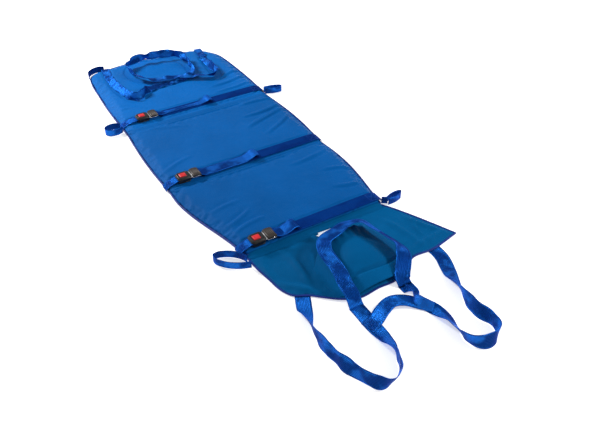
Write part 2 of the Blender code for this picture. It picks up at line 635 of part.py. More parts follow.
# ---------------------------------------------------------------- the whole mat
def build():
    clear_scene()
    head = pivot("head_fold", (0, SEAM_HEAD, FOLD_UNDER))
    hips = pivot("hips_fold", (0, SEAM_MIDDLE, FOLD_OVER))
    foot = pivot("foot_fold", (0, SEAM_FOOT, FOLD_UNDER), hips)

    panel("torso", torso_outline())
    hang(hips, *panel("hips", hips_outline()))
    hang(head, *panel("head", head_outline()))
    hang(foot, *foot_apron(), foot_pocket(), *harness_roots())

    strap("head", -0.218, 0.495, left_edge=-0.3070, right_edge=0.3185, curl_x=0.074, body=head)
    strap("torso", -0.238, 0.031, left_edge=-0.3085, right_edge=0.3205, curl_x=0.045)
    strap("hips", -0.172, -0.392, left_edge=-0.2385, right_edge=0.2945, curl_x=-0.010, body=hips)

    head_handle(head)
    hang(head, corner_loop())
    carry_loop("head_left_loop", (-0.3110, 0.484), (-0.374, 0.488), 0.052, head)
    carry_loop("head_right_loop", (0.3205, 0.468), (0.394, 0.448), 0.038, head)
    carry_loop("foot_left_loop", (-0.2320, -0.456), (-0.318, -0.384), 0.052, foot)
    carry_loop("foot_right_loop", (0.3040, -0.430), (0.368, -0.420), 0.036, foot)

    hang(pivot("harness", (0, HARNESS_HINGE_Y, FLOOR_WEB), foot), *harness_loops())


build()
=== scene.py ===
"""Fold-up evacuation mat in a plain studio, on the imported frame: padded covers, coated apron
and foot pocket, satin webbing, buckles, piping and stitching. Metres, in the frame of the CAD.
"""

import json
import math

import bmesh
import bpy
import numpy as np
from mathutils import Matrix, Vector, noise
from mathutils.bvhtree import BVHTree
from mathutils.geometry import delaunay_2d_cdt


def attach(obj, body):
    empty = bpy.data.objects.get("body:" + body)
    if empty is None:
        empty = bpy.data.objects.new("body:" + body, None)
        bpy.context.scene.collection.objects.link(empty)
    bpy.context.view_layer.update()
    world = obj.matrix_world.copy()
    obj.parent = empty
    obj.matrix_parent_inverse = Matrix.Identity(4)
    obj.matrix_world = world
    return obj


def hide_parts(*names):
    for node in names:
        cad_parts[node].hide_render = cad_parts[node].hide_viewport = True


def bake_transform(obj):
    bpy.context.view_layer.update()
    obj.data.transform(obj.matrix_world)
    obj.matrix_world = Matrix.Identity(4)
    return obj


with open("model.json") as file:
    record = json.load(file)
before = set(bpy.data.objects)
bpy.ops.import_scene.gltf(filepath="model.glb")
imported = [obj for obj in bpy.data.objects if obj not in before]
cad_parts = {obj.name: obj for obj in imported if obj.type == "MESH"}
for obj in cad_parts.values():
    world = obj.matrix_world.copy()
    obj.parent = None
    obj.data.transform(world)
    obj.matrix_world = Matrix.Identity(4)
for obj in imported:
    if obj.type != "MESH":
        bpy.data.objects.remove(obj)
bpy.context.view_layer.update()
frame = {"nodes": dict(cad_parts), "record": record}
scene = bpy.context.scene

# ---------------------------------------------------------------- sizes repeated from the CAD
SEAM_HEAD, SEAM_MIDDLE, SEAM_FOOT = 0.434, 0.0, -0.423
LEFT_EDGE, RIGHT_EDGE = -0.305, 0.315
FOOT_LEFT, FOOT_RIGHT = -0.228, 0.284
SEAM_GAP = 0.00075
PAD_TOP = 0.020
BINDING_THICK, BINDING_HEIGHT = 0.0025, 0.010
GAP = 0.0003
STRAP_GROUND = PAD_TOP + GAP
WEB_WIDTH, WEB_THICK = 0.048, 0.0014
LOOP_WIDTH, HANDLE_WIDTH, ARCH_WIDTH = 0.028, 0.036, 0.044
LOOP_MIDDLE = LOOP_WIDTH / 2 + 0.0006  # its height where a loop stands on edge
APRON_LOW, APRON_THICK = 0.0026, 0.0012
POCKET_LEFT, POCKET_RIGHT, POCKET_MOUTH, POCKET_TOE = -0.085, 0.200, -0.500, -0.730
POCKET_HEIGHT = 0.042
FLOOR_WEB = GAP + WEB_THICK / 2
HARNESS_HINGE_Y, HANDLE_HINGE_Y = -0.775, 0.974
ARCH_LEFT_X, ARCH_RIGHT_X = -0.054, 0.117
CASING_LENGTH, TONGUE_FRAME, TONGUE_LEVEL = 0.050, 0.034, 0.0085
# Each strap: y, casing x, left edge, right edge, and where the tail's free end curls up. The hips
# strap's tail curls up 26 mm nearer its buckle than in the CAD.
STRAPS = {
    "head": (0.495, -0.218, -0.3070, 0.3185, 0.074),
    "torso": (0.031, -0.238, -0.3085, 0.3205, 0.045),
    "hips": (-0.392, -0.172, -0.2385, 0.2945, -0.036),
}

# ---------------------------------------------------------------- camera, light and floor
CAMERA_PLACE = (-0.8167, -1.7244, 1.3234)
CAMERA_YAW, CAMERA_PITCH = 0.5409, 0.6849
CAMERA_LENS = 38.05

camera_data = bpy.data.cameras.new("camera")
camera_data.lens = CAMERA_LENS
camera_data.sensor_width = 36.0
camera = bpy.data.objects.new("camera", camera_data)
camera.location = CAMERA_PLACE
camera.rotation_euler = (math.pi / 2 - CAMERA_PITCH, 0.0, -CAMERA_YAW)
scene.collection.objects.link(camera)
scene.camera = camera
scene.view_settings.view_transform = "Standard"
scene.view_settings.look = "None"


def lamp(name, place, target, size, power, colour=(1.0, 1.0, 1.0)):
    """A square softbox that faces its target."""
    data = bpy.data.lights.new(name, "AREA")
    data.size = size
    data.energy = power
    data.color = colour
    made = bpy.data.objects.new(name, data)
    made.location = place
    made.rotation_euler = (Vector(target) - Vector(place)).to_track_quat("-Z", "Y").to_euler()
    scene.collection.objects.link(made)
    return made


lamp("key_softbox", (-1.3, 2.3, 1.7), (0.0, 0.1, 0.0), 0.6, 84.0)
lamp("side_softbox", (1.9, -1.5, 1.5), (0.1, -0.5, 0.0), 0.6, 38.0)
world = bpy.data.worlds.new("studio_white")
scene.world = world
world.use_nodes = True
backdrop = world.node_tree.nodes["Background"]
backdrop.inputs["Color"].default_value = (1.0, 1.0, 1.0, 1.0)
backdrop.inputs["Strength"].default_value = 0.40


# ---------------------------------------------------------------- materials
class Finish:
    """A Principled material, with short calls for the texture nodes that drive it."""

    def __init__(self, name, **values):
        self.material = bpy.data.materials.new(name)
        self.material.use_nodes = True
        self.nodes = self.material.node_tree.nodes
        self.shader = self.nodes["Principled BSDF"]
        for socket, value in values.items():
            self.shader.inputs[socket.replace("_", " ")].default_value = value

    def link(self, source, target):
        self.material.node_tree.links.new(source, target)

    def add(self, kind, inputs=None, **settings):
        node = self.nodes.new(kind)
        for key, value in settings.items():
            setattr(node, key, value)
        for key, value in (inputs or {}).items():
            if isinstance(value, bpy.types.NodeSocket):
                self.link(value, node.inputs[key])
            else:
                node.inputs[key].default_value = value
        return node

    def place(self):
        return self.add("ShaderNodeTexCoord").outputs["Object"]

    def attribute(self, name, output="Vector"):
        return self.add("ShaderNodeAttribute", attribute_name=name).outputs[output]

    def noise(self, scale, detail=3.0, where=None, roughness=0.55):
        found = self.add("ShaderNodeTexNoise", {"Vector": where or self.place(), "Scale": scale,
                                                "Detail": detail, "Roughness": roughness})
        return found.outputs["Fac"]

    def threads(self, pitch, direction, where=None, profile="SIN"):
        """Parallel threads across one direction; the wave node repeats every 0.314 / scale."""
        found = self.add("ShaderNodeTexWave", {"Vector": where or self.place(),
                                               "Scale": 0.314159 / pitch, "Distortion": 0.0},
                         bands_direction=direction, wave_profile=profile)
        return found.outputs["Fac"]

    def math(self, operation, *values):
        return self.add("ShaderNodeMath", dict(enumerate(values)), operation=operation).outputs[0]

    def ramp(self, value, *stops):
        """Colours at places from 0 to 1, read at the value."""
        node = self.add("ShaderNodeValToRGB", {"Fac": value})
        points = node.color_ramp.elements
        while len(points) < len(stops):
            points.new(0.5)
        for point, (place, colour) in zip(points, stops):
            point.position = place
            point.color = (*colour, 1.0)
        return node.outputs["Color"]

    def mix(self, factor, first, second, blend="MIX"):
        return self.add("ShaderNodeMixRGB", {"Fac": factor, "Color1": first, "Color2": second},
                        blend_type=blend).outputs["Color"]

    def spread(self, value, low, high):
        """The value's range from 0 to 1 set to a range from low to high."""
        return self.add("ShaderNodeMapRange", {"Value": value, "To Min": low,
                                               "To Max": high}).outputs["Result"]

    def steps(self, value, low, high):
        """A smooth step, from 0 below the low value to 1 above the high one."""
        return self.add("ShaderNodeMapRange", {"Value": value, "From Min": low, "From Max": high},
                        interpolation_type="SMOOTHSTEP").outputs["Result"]

    def colour(self, source):
        self.link(source, self.shader.inputs["Base Color"])
        return self

    def rough(self, source):
        self.link(source, self.shader.inputs["Roughness"])
        return self

    def bump(self, *layers):
        """Height layers, each a value with its depth in metres."""
        normal = None
        for value, depth in layers:
            inputs = {"Height": value, "Distance": depth, "Strength": 1.0}
            if normal:
                inputs["Normal"] = normal
            normal = self.add("ShaderNodeBump", inputs).outputs["Normal"]
        self.link(normal, self.shader.inputs["Normal"])
        return self


def shade(colour, factor):
    return tuple(min(channel * factor, 1.0) for channel in colour)


SATIN_TINT = (0.10, 0.36, 1.0, 1.0)  # dyed synthetic fibre tints its own highlights
THREAD_PITCH = 0.0011


def coated_cloth(name, colour, pitch=0.0009, gloss=0.46, specular=0.07, rumple=0.0006):
    """Coated nylon: a fine plain weave under a satin skin, with soft colour patches."""
    made = Finish(name, Specular_IOR_Level=specular, Specular_Tint=SATIN_TINT)
    patches = made.noise(5.0, 4.0)
    tone = made.ramp(patches, (0.25, shade(colour, 0.86)), (0.52, colour),
                     (0.78, shade(colour, 1.13)))
    warp, weft = made.threads(pitch, "X"), made.threads(pitch, "Y")
    weave = made.math("MULTIPLY", warp, weft)
    made.colour(made.mix(made.spread(weave, 0.0, 0.16), tone, (*shade(colour, 1.35), 1.0)))
    made.rough(made.spread(made.noise(34.0, 5.0), gloss - 0.09, gloss + 0.12))
    made.bump((made.noise(48.0, 4.0), rumple), (weave, pitch * 0.18))
    return made.material


def satin_webbing(name, dark, light, width, ribs=11, gloss=0.34):
    """Satin webbing: lengthwise ribs with painted highlight bands along its length, and cross threads.
    """
    made = Finish(name, Metallic=0.55, Specular_IOR_Level=0.10, Specular_Tint=SATIN_TINT)
    strip = made.attribute("strip")
    painted_sheen_bands = made.noise(15.0, 2.0, strip)
    ribbing = made.threads(width / ribs, "Y", strip)
    thread = made.threads(THREAD_PITCH, "X", strip)
    wear = made.noise(26.0, 4.0)
    # Painted highlight: in bands along the strip the ribs take the light colour, a sheen painted into
    # the colour.
    painted_highlight = made.math("MULTIPLY", made.spread(ribbing, 0.25, 1.0), made.steps(painted_sheen_bands, 0.44, 0.60))
    tone = made.mix(painted_highlight, (*dark, 1.0), (*light, 1.0))
    tone = made.mix(made.spread(wear, 0.0, 0.30), tone, (*shade(dark, 0.75), 1.0))
    made.colour(made.mix(made.spread(thread, 0.0, 0.14), tone, (*shade(light, 1.3), 1.0)))
    made.rough(made.spread(wear, gloss - 0.05, gloss + 0.16))
    made.bump((made.noise(70.0, 3.0), 0.0006), (ribbing, 0.0009), (thread, 0.00012))
    return made.material


def piping_tape(name, colour):
    """Woven edge tape, with fine diagonal threads."""
    made = Finish(name, Roughness=0.5, Specular_IOR_Level=0.25)
    patches = made.noise(40.0, 4.0)
    threads = made.threads(0.0012, "DIAGONAL")
    tone = made.ramp(patches, (0.3, shade(colour, 0.8)), (0.7, shade(colour, 1.2)))
    made.colour(made.mix(made.spread(threads, 0.0, 0.3), tone, (*shade(colour, 0.6), 1.0)))
    made.rough(made.spread(patches, 0.40, 0.62))
    made.bump((patches, 0.0006), (threads, 0.0002))
    return made.material


def moulded(name, colour, gloss, specular=0.5, grain=900.0, depth=0.00005):
    """Moulded plastic with a fine grain, light scuffs and slightly uneven gloss."""
    made = Finish(name, Specular_IOR_Level=specular)
    scuffs = made.noise(130.0, 6.0)
    made.colour(made.ramp(scuffs, (0.35, shade(colour, 0.85)), (0.72, shade(colour, 1.35))))
    made.rough(made.spread(scuffs, gloss - 0.08, gloss + 0.14))
    made.bump((made.noise(grain, 2.0), depth))
    return made.material


def brushed(name, colour, gloss, metallic=1.0):
    """Brushed metal: fine scratches along X, and small stains."""
    made = Finish(name, Metallic=metallic)
    stretched = made.add("ShaderNodeMapping", {"Vector": made.place(), "Scale": (0.04, 1.0, 1.0)})
    scratches = made.noise(2600.0, 4.0, stretched.outputs["Vector"])
    stains = made.noise(160.0, 4.0)
    made.colour(made.ramp(stains, (0.30, shade(colour, 0.82)), (0.70, shade(colour, 1.08))))
    made.rough(made.spread(scratches, gloss - 0.06, gloss + 0.14))
    made.bump((scratches, 0.00004))
    return made.material


def speckled(name, colour, gloss, scale, depth):
    """Pressed board: open grain in two sizes."""
    made = Finish(name, Specular_IOR_Level=0.2)
    cells = made.add("ShaderNodeTexVoronoi", {"Vector": made.place(), "Scale": scale})
    grain = cells.outputs["Distance"]
    blotches = made.noise(22.0, 4.0)
    tone = made.ramp(blotches, (0.3, shade(colour, 0.86)), (0.7, shade(colour, 1.06)))
    made.colour(made.mix(made.spread(grain, 0.0, 0.5), tone, (*shade(colour, 0.6), 1.0)))
    made.rough(made.spread(blotches, gloss - 0.1, gloss + 0.08))
    made.bump((grain, depth))
    return made.material


COVER_BLUE = (0.0022, 0.104, 0.375)
TEAL = (0.0008, 0.096, 0.268)
DARK_TAPE = (0.008, 0.030, 0.240)
THREAD_BLUE = (0.020, 0.110, 0.480)

# One cover blue in three copies: painted 20% lighter on the head panel and 8% darker on the hips,
# painted light and shade.
COVER = {
    "head": coated_cloth("cover_head_painted_lighter", shade(COVER_BLUE, 1.20)),
    "torso": coated_cloth("cover_torso", COVER_BLUE),
    "hips": coated_cloth("cover_hips_painted_darker", shade(COVER_BLUE, 0.92)),
}
APRON_CLOTH = coated_cloth("apron_cloth", TEAL, gloss=0.48, specular=0.05)
TAPE = piping_tape("edge_tape", DARK_TAPE)
# The dark colour is the webbing's dye; the light one is its painted highlight, sheen painted into the
# colour.
WEB_DARK, WEB_PAINTED_SHEEN = (0.0003, 0.024, 0.185), (0.0180, 0.230, 0.950)
WEBBING = satin_webbing("satin_webbing", WEB_DARK, WEB_PAINTED_SHEEN, WEB_WIDTH, gloss=0.30)
LOOP_WEBBING = satin_webbing("loop_webbing", WEB_DARK, WEB_PAINTED_SHEEN, LOOP_WIDTH, ribs=6)
# The handle's painted highlight is 15% brighter.
HANDLE_WEBBING = satin_webbing("handle_webbing", WEB_DARK, shade(WEB_PAINTED_SHEEN, 1.15), HANDLE_WIDTH,
                               ribs=9, gloss=0.30)
# The flat webbing's second colour is a dimmer painted highlight.
FLAT_WEBBING = satin_webbing("flat_webbing", (0.0005, 0.028, 0.190), (0.0012, 0.052, 0.290),
                             WEB_WIDTH, gloss=0.50)
THREAD = moulded("sewing_thread", THREAD_BLUE, 0.55, 0.3, 1500.0, 0.0001)
CASING = moulded("casing_black", (0.008, 0.008, 0.009), 0.30)
BUTTON = moulded("button_red", (0.620, 0.016, 0.022), 0.32)
STEEL = brushed("tongue_steel", (0.78, 0.78, 0.80), 0.22)
SPRING = brushed("spring_steel", (0.55, 0.55, 0.58), 0.34)
BRONZE = brushed("adjuster_bronze", (0.050, 0.042, 0.038), 0.40, 0.55)
BOARD = speckled("pressed_board", (0.300, 0.320, 0.340), 0.55, 1600.0, 0.0001)
BASE = coated_cloth("base_cloth", (0.008, 0.018, 0.110), pitch=0.0014, gloss=0.55, rumple=0.0008)


# ---------------------------------------------------------------- mesh tools
def add_mesh(name, points, faces, material, strip=None):
    """A smooth-shaded object in the row frame. strip is each point's place along and across."""
    mesh = bpy.data.meshes.new(name)
    mesh.from_pydata([tuple(p) for p in points], [], [tuple(f) for f in faces])
    if strip is not None:
        layer = mesh.attributes.new("strip", "FLOAT_VECTOR", "POINT")
        layer.data.foreach_set("vector", np.array(strip, np.float32).ravel())
    made = bpy.data.objects.new(name, mesh)
    scene.collection.objects.link(made)
    mesh.materials.append(material)
    turn_outwards(mesh)
    return made


def turn_outwards(mesh):
    """Consistent outward faces, shaded smooth."""
    bm = bmesh.new()
    bm.from_mesh(mesh)
    bmesh.ops.recalc_face_normals(bm, faces=bm.faces)
    bm.to_mesh(mesh)
    bm.free()
    mesh.polygons.foreach_set("use_smooth", [True] * len(mesh.polygons))


def settle(piece):
    """Applies the piece's modifiers to its mesh."""
    graph = bpy.context.evaluated_depsgraph_get()
    mesh = bpy.data.meshes.new_from_object(piece.evaluated_get(graph))
    piece.modifiers.clear()
    piece.data = mesh
    mesh.polygons.foreach_set("use_smooth", [True] * len(mesh.polygons))
    return piece


def thicken(piece, thickness):
    """Gives a sheet its thickness, half of it to each side."""
    thick = piece.modifiers.new("thick", "SOLIDIFY")
    thick.thickness = thickness
    thick.offset = 0.0
    settle(piece)


def grid_faces(rows, columns):
    """The faces of a grid whose points are listed row by row."""
    corners = [r * (columns + 1) + c for r in range(rows) for c in range(columns)]
    return [(a, a + 1, a + columns + 2, a + columns + 1) for a in corners]


def points_of(piece):
    found = np.empty(len(piece.data.vertices) * 3)
    piece.data.vertices.foreach_get("co", found)
    return found.reshape(-1, 3)


def set_points(piece, points):
    piece.data.vertices.foreach_set("co", np.asarray(points, float).ravel())
    piece.data.update()


def ease(t):
    t = np.clip(t, 0.0, 1.0)
    return t * t * (3 - 2 * t)


def ripple(x, y, scale, seed=0.0):
    """Smooth seeded noise from -1 to 1 over a plan point."""
    return noise.noise(Vector((x * scale, y * scale, seed)))


def smooth_path(stations, steps):
    """A smooth curve through the stations; height and tilt never overshoot."""
    given = [np.array(s, float) for s in stations]
    lengths = [np.linalg.norm(b[:3] - a[:3]) for a, b in zip(given, given[1:])]
    slopes = [(b - a) / length for a, b, length in zip(given, given[1:], lengths)]
    tangents = [slopes[0]]
    for i in range(1, len(slopes)):
        before, after = lengths[i - 1], lengths[i]
        tangents.append((slopes[i - 1] * after + slopes[i] * before) / (before + after))
    tangents.append(slopes[-1])
    path = []
    for i, length in enumerate(lengths):
        a, b = given[i], given[i + 1]
        count = max(2, int(length / steps))
        for k in range(count):
            t = k / count
            here = (a * (2 * t ** 3 - 3 * t ** 2 + 1) + b * (3 * t ** 2 - 2 * t ** 3)
                    + tangents[i] * length * (t ** 3 - 2 * t ** 2 + t)
                    + tangents[i + 1] * length * (t ** 3 - t ** 2))
            here[2:] = np.clip(here[2:], np.minimum(a, b)[2:], np.maximum(a, b)[2:])
            path.append(here)
    path.append(given[-1])
    return path


def outline_path(outline, step=0.006, corner=38.0):
    """An outline resampled finely: smooth along its sides, sharp at its corners."""
    count = len(outline)
    points = [np.array(p, float) for p in outline]
    sharp = []
    for i in range(count):
        a, b = points[i] - points[i - 1], points[(i + 1) % count] - points[i]
        turn = math.degrees(abs(math.atan2(a[0] * b[1] - a[1] * b[0], a @ b)))
        if turn > corner:
            sharp.append(i)
    path = []
    for k, start in enumerate(sharp):
        end = sharp[(k + 1) % len(sharp)]
        run = [points[(start + i) % count] for i in range(((end - start) % count or count) + 1)]
        path += [(p[0], p[1]) for p in smooth_path([(x, y, 0, 0) for x, y in run], step)[:-1]]
    return path


def inset(outline, side, seam=None):
    """The outline moved inwards: by side, or by seam along the edges that lie on a seam."""
    seam = side if seam is None else seam
    count = len(outline)
    edges = []
    for i in range(count):
        (x0, y0), (x1, y1) = outline[i], outline[(i + 1) % count]
        length = math.hypot(x1 - x0, y1 - y0)
        along = ((x1 - x0) / length, (y1 - y0) / length)
        on_seam = abs(y1 - y0) < 1e-9 and min(abs(y0 - s) for s in
                                              (SEAM_HEAD, SEAM_MIDDLE, SEAM_FOOT)) < 0.002
        depth = seam if on_seam else side
        edges.append((x0 - along[1] * depth, y0 + along[0] * depth, *along))
    made = []
    for i in range(count):
        ax, ay, adx, ady = edges[i - 1]
        bx, by, bdx, bdy = edges[i]
        turn = adx * bdy - ady * bdx
        if abs(turn) < 1e-4:
            made.append((bx, by))
            continue
        t = ((bx - ax) * bdy - (by - ay) * bdx) / turn
        made.append((ax + adx * t, ay + ady * t))
    return made


def distance_to(points, starts, ends):
    """Each plan point's distance to the nearest of some straight runs."""
    nearest = np.full(len(points), 1e9)
    for a, b in zip(starts, ends):
        run = b - a
        share = np.clip(((points - a) @ run) / max(run @ run, 1e-12), 0, 1)
        nearest = np.minimum(nearest, np.linalg.norm(points - (a + share[:, None] * run), axis=1))
    return nearest


def edge_distance(points, outline):
    """Each plan point's distance to the outline."""
    corners = np.array(outline)
    return distance_to(points, corners, np.roll(corners, -1, axis=0))


def filled(outline, spacing, holes=()):
    """Points and triangles that fill an outline evenly, less its holes."""
    ring = np.array(outline)
    (x0, y0), (x1, y1) = ring.min(0), ring.max(0)
    grid = []
    rows = int((y1 - y0) / (spacing * 0.866)) + 1
    for r in range(rows):
        y = y0 + spacing * 0.866 * r
        shift = 0.5 * spacing * (r % 2)
        grid += [(x, y) for x in np.arange(x0 + shift, x1, spacing)]
    grid = np.array(grid)
    keep = edge_distance(grid, outline) > spacing * 0.6
    for hole in holes:
        keep &= edge_distance(grid, hole) > spacing * 0.6
    grid = grid[keep]
    points, edges, faces = [], [], []
    for loop in [outline, *holes]:
        first = len(points)
        points += [Vector(p) for p in loop]
        edges += [(first + i, first + (i + 1) % len(loop)) for i in range(len(loop))]
        faces.append(list(range(first, first + len(loop))))
    points += [Vector(p) for p in grid]
    made, _, triangles, _, _, belongs = delaunay_2d_cdt(points, edges, faces, 1, 1e-7)
    kept = [t for t, owners in zip(triangles, belongs) if set(owners) == {0}]
    return np.array([tuple(p) for p in made]), kept


FLUTTER_RATE, WOBBLE_RATE = 30, 22  # how quickly the webbing's waves follow each other, per metre
WAVE_FADE = 0.04  # the length over which waves set in after the flat end
FLOOR_CLEAR = 0.0002


def ribbon(name, stations, material, body=None, width=WEB_WIDTH, thick=WEB_THICK, step=0.004,
           flutter=0.0, wobble=0.0, loose=0.0, gather=0.0, still=0.0, seed=1.0):
    """Webbing along (x, y, z, tilt) stations, with rounded edges. Flutter bows it across its
    width here and there, and wobble turns it a few degrees to and fro, as limp webbing lies.
    Wobble acts where the strip stands on edge; loose lets a share of it act where it lies flat.
    Gather draws it narrower along most of its length, and still is the length at each end that
    lies flat under other cloth."""
    path = smooth_path(stations, step)
    columns = (0.0, 0.03, 0.12, 0.30, 0.50, 0.70, 0.88, 0.97, 1.0)
    swell = (0.25, 0.75, 1.0, 1.0, 1.0, 1.0, 1.0, 0.75, 0.25)
    profile = [(v, s / 2) for v, s in zip(columns, swell)]
    profile += [(v, -s / 2) for v, s in reversed(list(zip(columns, swell)))]
    points, strip, faces = [], [], []
    run = 0.0
    for i, here in enumerate(path):
        before, after = path[max(i - 1, 0)], path[min(i + 1, len(path) - 1)]
        along = Vector(after[:3] - before[:3]).normalized()
        level = along.cross(Vector((0, 0, 1))).normalized()
        rise = level.cross(along).normalized()
        if i:
            run += float(np.linalg.norm(here[:3] - path[i - 1][:3]))
        standing = abs(math.sin(math.radians(here[3])))
        from_end = min(i, len(path) - 1 - i) * step
        free = ease((from_end - still) / WAVE_FADE) if still else 1.0
        swing = noise.noise(Vector((run * WOBBLE_RATE, seed, 4.0)))
        sway = wobble * free * max(standing, loose) * swing
        tilt = math.radians(here[3] + sway)
        lift = max(abs(math.sin(tilt)) - standing, 0.0) * width / 2 if loose else 0.0
        across = level * math.cos(tilt) + rise * math.sin(tilt)
        normal = along.cross(across).normalized()
        belly = flutter * free * noise.noise(Vector((run * FLUTTER_RATE, seed, 0.0)))
        centre = Vector((here[0], here[1], here[2] + lift))
        drawn = width * (1 - gather * math.sin(math.pi * min(1.15 * i / len(path), 1.0)) ** 0.4)
        for v, side in profile:
            bow = belly * (1 - (2 * v - 1) ** 2)
            point = centre + across * (v - 0.5) * drawn + normal * (side * thick + bow)
            point.z = max(point.z, FLOOR_CLEAR + (thick if side * normal.z > 0 else 0.0))
            points.append(point)
            strip.append((run, v * width, side))
    size = len(profile)
    for r in range(len(path) - 1):
        for c in range(size):
            d = (c + 1) % size
            faces.append((r * size + c, r * size + d, (r + 1) * size + d, (r + 1) * size + c))
    faces.append(tuple(range(size)))
    last = (len(path) - 1) * size
    faces.append(tuple(range(last, last + size)))
    made = add_mesh(name, points, faces, material, strip)
    if body:
        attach(made, body)
    return made


def hoop(name, path, heights, profile, material, body=None):
    """A closed tape along a plan path: profile is (outwards, up) from the path."""
    count = len(path)
    corners = np.array(path)
    middle = (np.roll(corners, -1, axis=0) - np.roll(corners, 1, axis=0))
    middle /= np.linalg.norm(middle, axis=1)[:, None]
    outward = np.stack([middle[:, 1], -middle[:, 0]], axis=1)
    points, faces = [], []
    for (x, y), (nx, ny), z in zip(corners, outward, heights):
        points += [(x + nx * out, y + ny * out, z + up) for out, up in profile]
    size = len(profile)
    for r in range(count):
        for c in range(size):
            d, s = (c + 1) % size, (r + 1) % count
            faces.append((r * size + c, r * size + d, s * size + d, s * size + c))
    made = add_mesh(name, points, faces, material)
    if body:
        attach(made, body)
    return made


BODY_OF = {node: body for body, nodes in frame["record"]["behaviour"]["bodies"].items()
           for node in nodes}


def softened(node, width, material, segments=3):
    """A copy of a hard CAD node with rounded edges, which stands for it."""
    source = frame["nodes"][node]
    made = bpy.data.objects.new(node + "_rounded", source.data.copy())
    scene.collection.objects.link(made)
    made.data.materials.clear()
    made.data.materials.append(material)
    bm = bmesh.new()
    bm.from_mesh(made.data)
    bmesh.ops.remove_doubles(bm, verts=bm.verts, dist=1e-6)
    bmesh.ops.dissolve_limit(bm, angle_limit=0.02, verts=bm.verts, edges=bm.edges)
    bm.to_mesh(made.data)
    bm.free()
    bevel = made.modifiers.new("edges", "BEVEL")
    bevel.width = width
    bevel.segments = segments
    bevel.limit_method = "ANGLE"
    bevel.angle_limit = math.radians(25)
    bevel.harden_normals = True
    settle(made)
    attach(made, BODY_OF[node])
    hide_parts(node)
    return made


# ---------------------------------------------------------------- outlines, as in the CAD
def bowed(start, end, bow, count, eased=False):
    """Points from start towards end, bowed sideways."""
    (x0, y0), (x1, y1) = start, end
    made = []
    for k in range(count):
        v = k / count
        share = v * v * (3 - 2 * v) if eased else v
        made.append((x0 + (x1 - x0) * share + bow * math.sin(math.pi * v), y0 + (y1 - y0) * v))
    return made


def arc(centre, radius, start, end, count):
    angles = [math.radians(start + (end - start) * k / count) for k in range(count + 1)]
    return [(centre[0] + radius * math.cos(a), centre[1] + radius * math.sin(a)) for a in angles]


def torso_outline():
    low, high = SEAM_MIDDLE + SEAM_GAP, SEAM_HEAD - SEAM_GAP
    right = bowed((RIGHT_EDGE, low), (RIGHT_EDGE, high), 0.014, 5)
    left = bowed((LEFT_EDGE, high), (LEFT_EDGE, low), -0.008, 5)
    return right + [(RIGHT_EDGE, high)] + left + [(LEFT_EDGE, low)]


def hips_outline():
    low, high = SEAM_FOOT + SEAM_GAP, SEAM_MIDDLE - SEAM_GAP
    right = bowed((FOOT_RIGHT, low), (RIGHT_EDGE, high), 0.019, 6, eased=True)
    left = bowed((LEFT_EDGE, high), (FOOT_LEFT, low), -0.010, 6, eased=True)
    return right + [(RIGHT_EDGE, high)] + left + [(FOOT_LEFT, low)]


def head_outline():
    low, end_y = SEAM_HEAD + SEAM_GAP, 1.014
    right_radius, left_radius = 0.168, 0.082
    right_middle = (0.145, end_y - right_radius)
    left_middle = (-0.217, end_y - left_radius)
    right = bowed((RIGHT_EDGE, low), (right_middle[0] + right_radius, right_middle[1]), 0.007, 4)
    run = right_middle[0] - left_middle[0]
    end = [(right_middle[0] - run * v, end_y + 0.020 * math.sin(math.pi * v))
           for v in (0.25, 0.5, 0.75)]
    left = bowed((left_middle[0] - left_radius, left_middle[1]), (LEFT_EDGE, low), -0.008, 4)[1:]
    return (right + arc(right_middle, right_radius, 0, 90, 6) + end
            + arc(left_middle, left_radius, 90, 180, 4) + left + [(LEFT_EDGE, low)])


APRON_OUTLINE = [
    (FOOT_LEFT, SEAM_FOOT - SEAM_GAP), (-0.225, -0.480), (-0.216, -0.541), (-0.205, -0.604),
    (-0.190, -0.634), (-0.148, -0.660), (-0.109, -0.694), (-0.079, -0.718), (-0.025, -0.742),
    (0.046, -0.738), (0.098, -0.740), (0.162, -0.716), (0.209, -0.688), (0.283, -0.690),
    (0.402, -0.668), (0.369, -0.592), (0.334, -0.515), (0.301, -0.452),
    (FOOT_RIGHT, SEAM_FOOT - SEAM_GAP)]
APRON_GAP = [(0.000, -0.440), (0.034, -0.488), (0.092, -0.480), (0.100, -0.446)]
OUTLINES = {"torso": torso_outline(), "hips": hips_outline(), "head": head_outline()}


# ---------------------------------------------------------------- stitching
sewn = {}  # body name: (points, faces) of its stitches


def stitch_row(body, places, normals, pitch=0.0046, length=0.0032, radius=0.00042):
    """Thread stitches along a run of points, lying on the surface."""
    points, faces = sewn.setdefault(body, ([], []))
    places = [Vector(p) for p in places]
    lengths = [0.0]
    for a, b in zip(places, places[1:]):
        lengths.append(lengths[-1] + (b - a).length)
    count = int(lengths[-1] / pitch)
    for k in range(count):
        where = (k + 0.5) * lengths[-1] / count
        i = min(max(int(np.searchsorted(lengths, where)) - 1, 0), len(places) - 2)
        share = (where - lengths[i]) / max(lengths[i + 1] - lengths[i], 1e-9)
        middle = places[i].lerp(places[i + 1], share)
        up = Vector(normals[i]).normalized()
        along = (places[i + 1] - places[i]).normalized()
        side = along.cross(up).normalized()
        first = len(points)
        centre = middle + up * radius * 0.4
        for reach, fat in ((-0.5, 0.35), (-0.25, 1.0), (0.25, 1.0), (0.5, 0.35)):
            for sx, sy in ((1, 0), (0, 1), (-1, 0), (0, -1)):
                points.append(centre + along * reach * length
                              + side * sx * radius * fat + up * sy * radius * fat)
        for ring in range(3):
            for c in range(4):
                d = (c + 1) % 4
                base = first + ring * 4
                faces.append((base + c, base + d, base + 4 + d, base + 4 + c))
        faces.append((first + 3, first + 2, first + 1, first))
        faces.append((first + 12, first + 13, first + 14, first + 15))


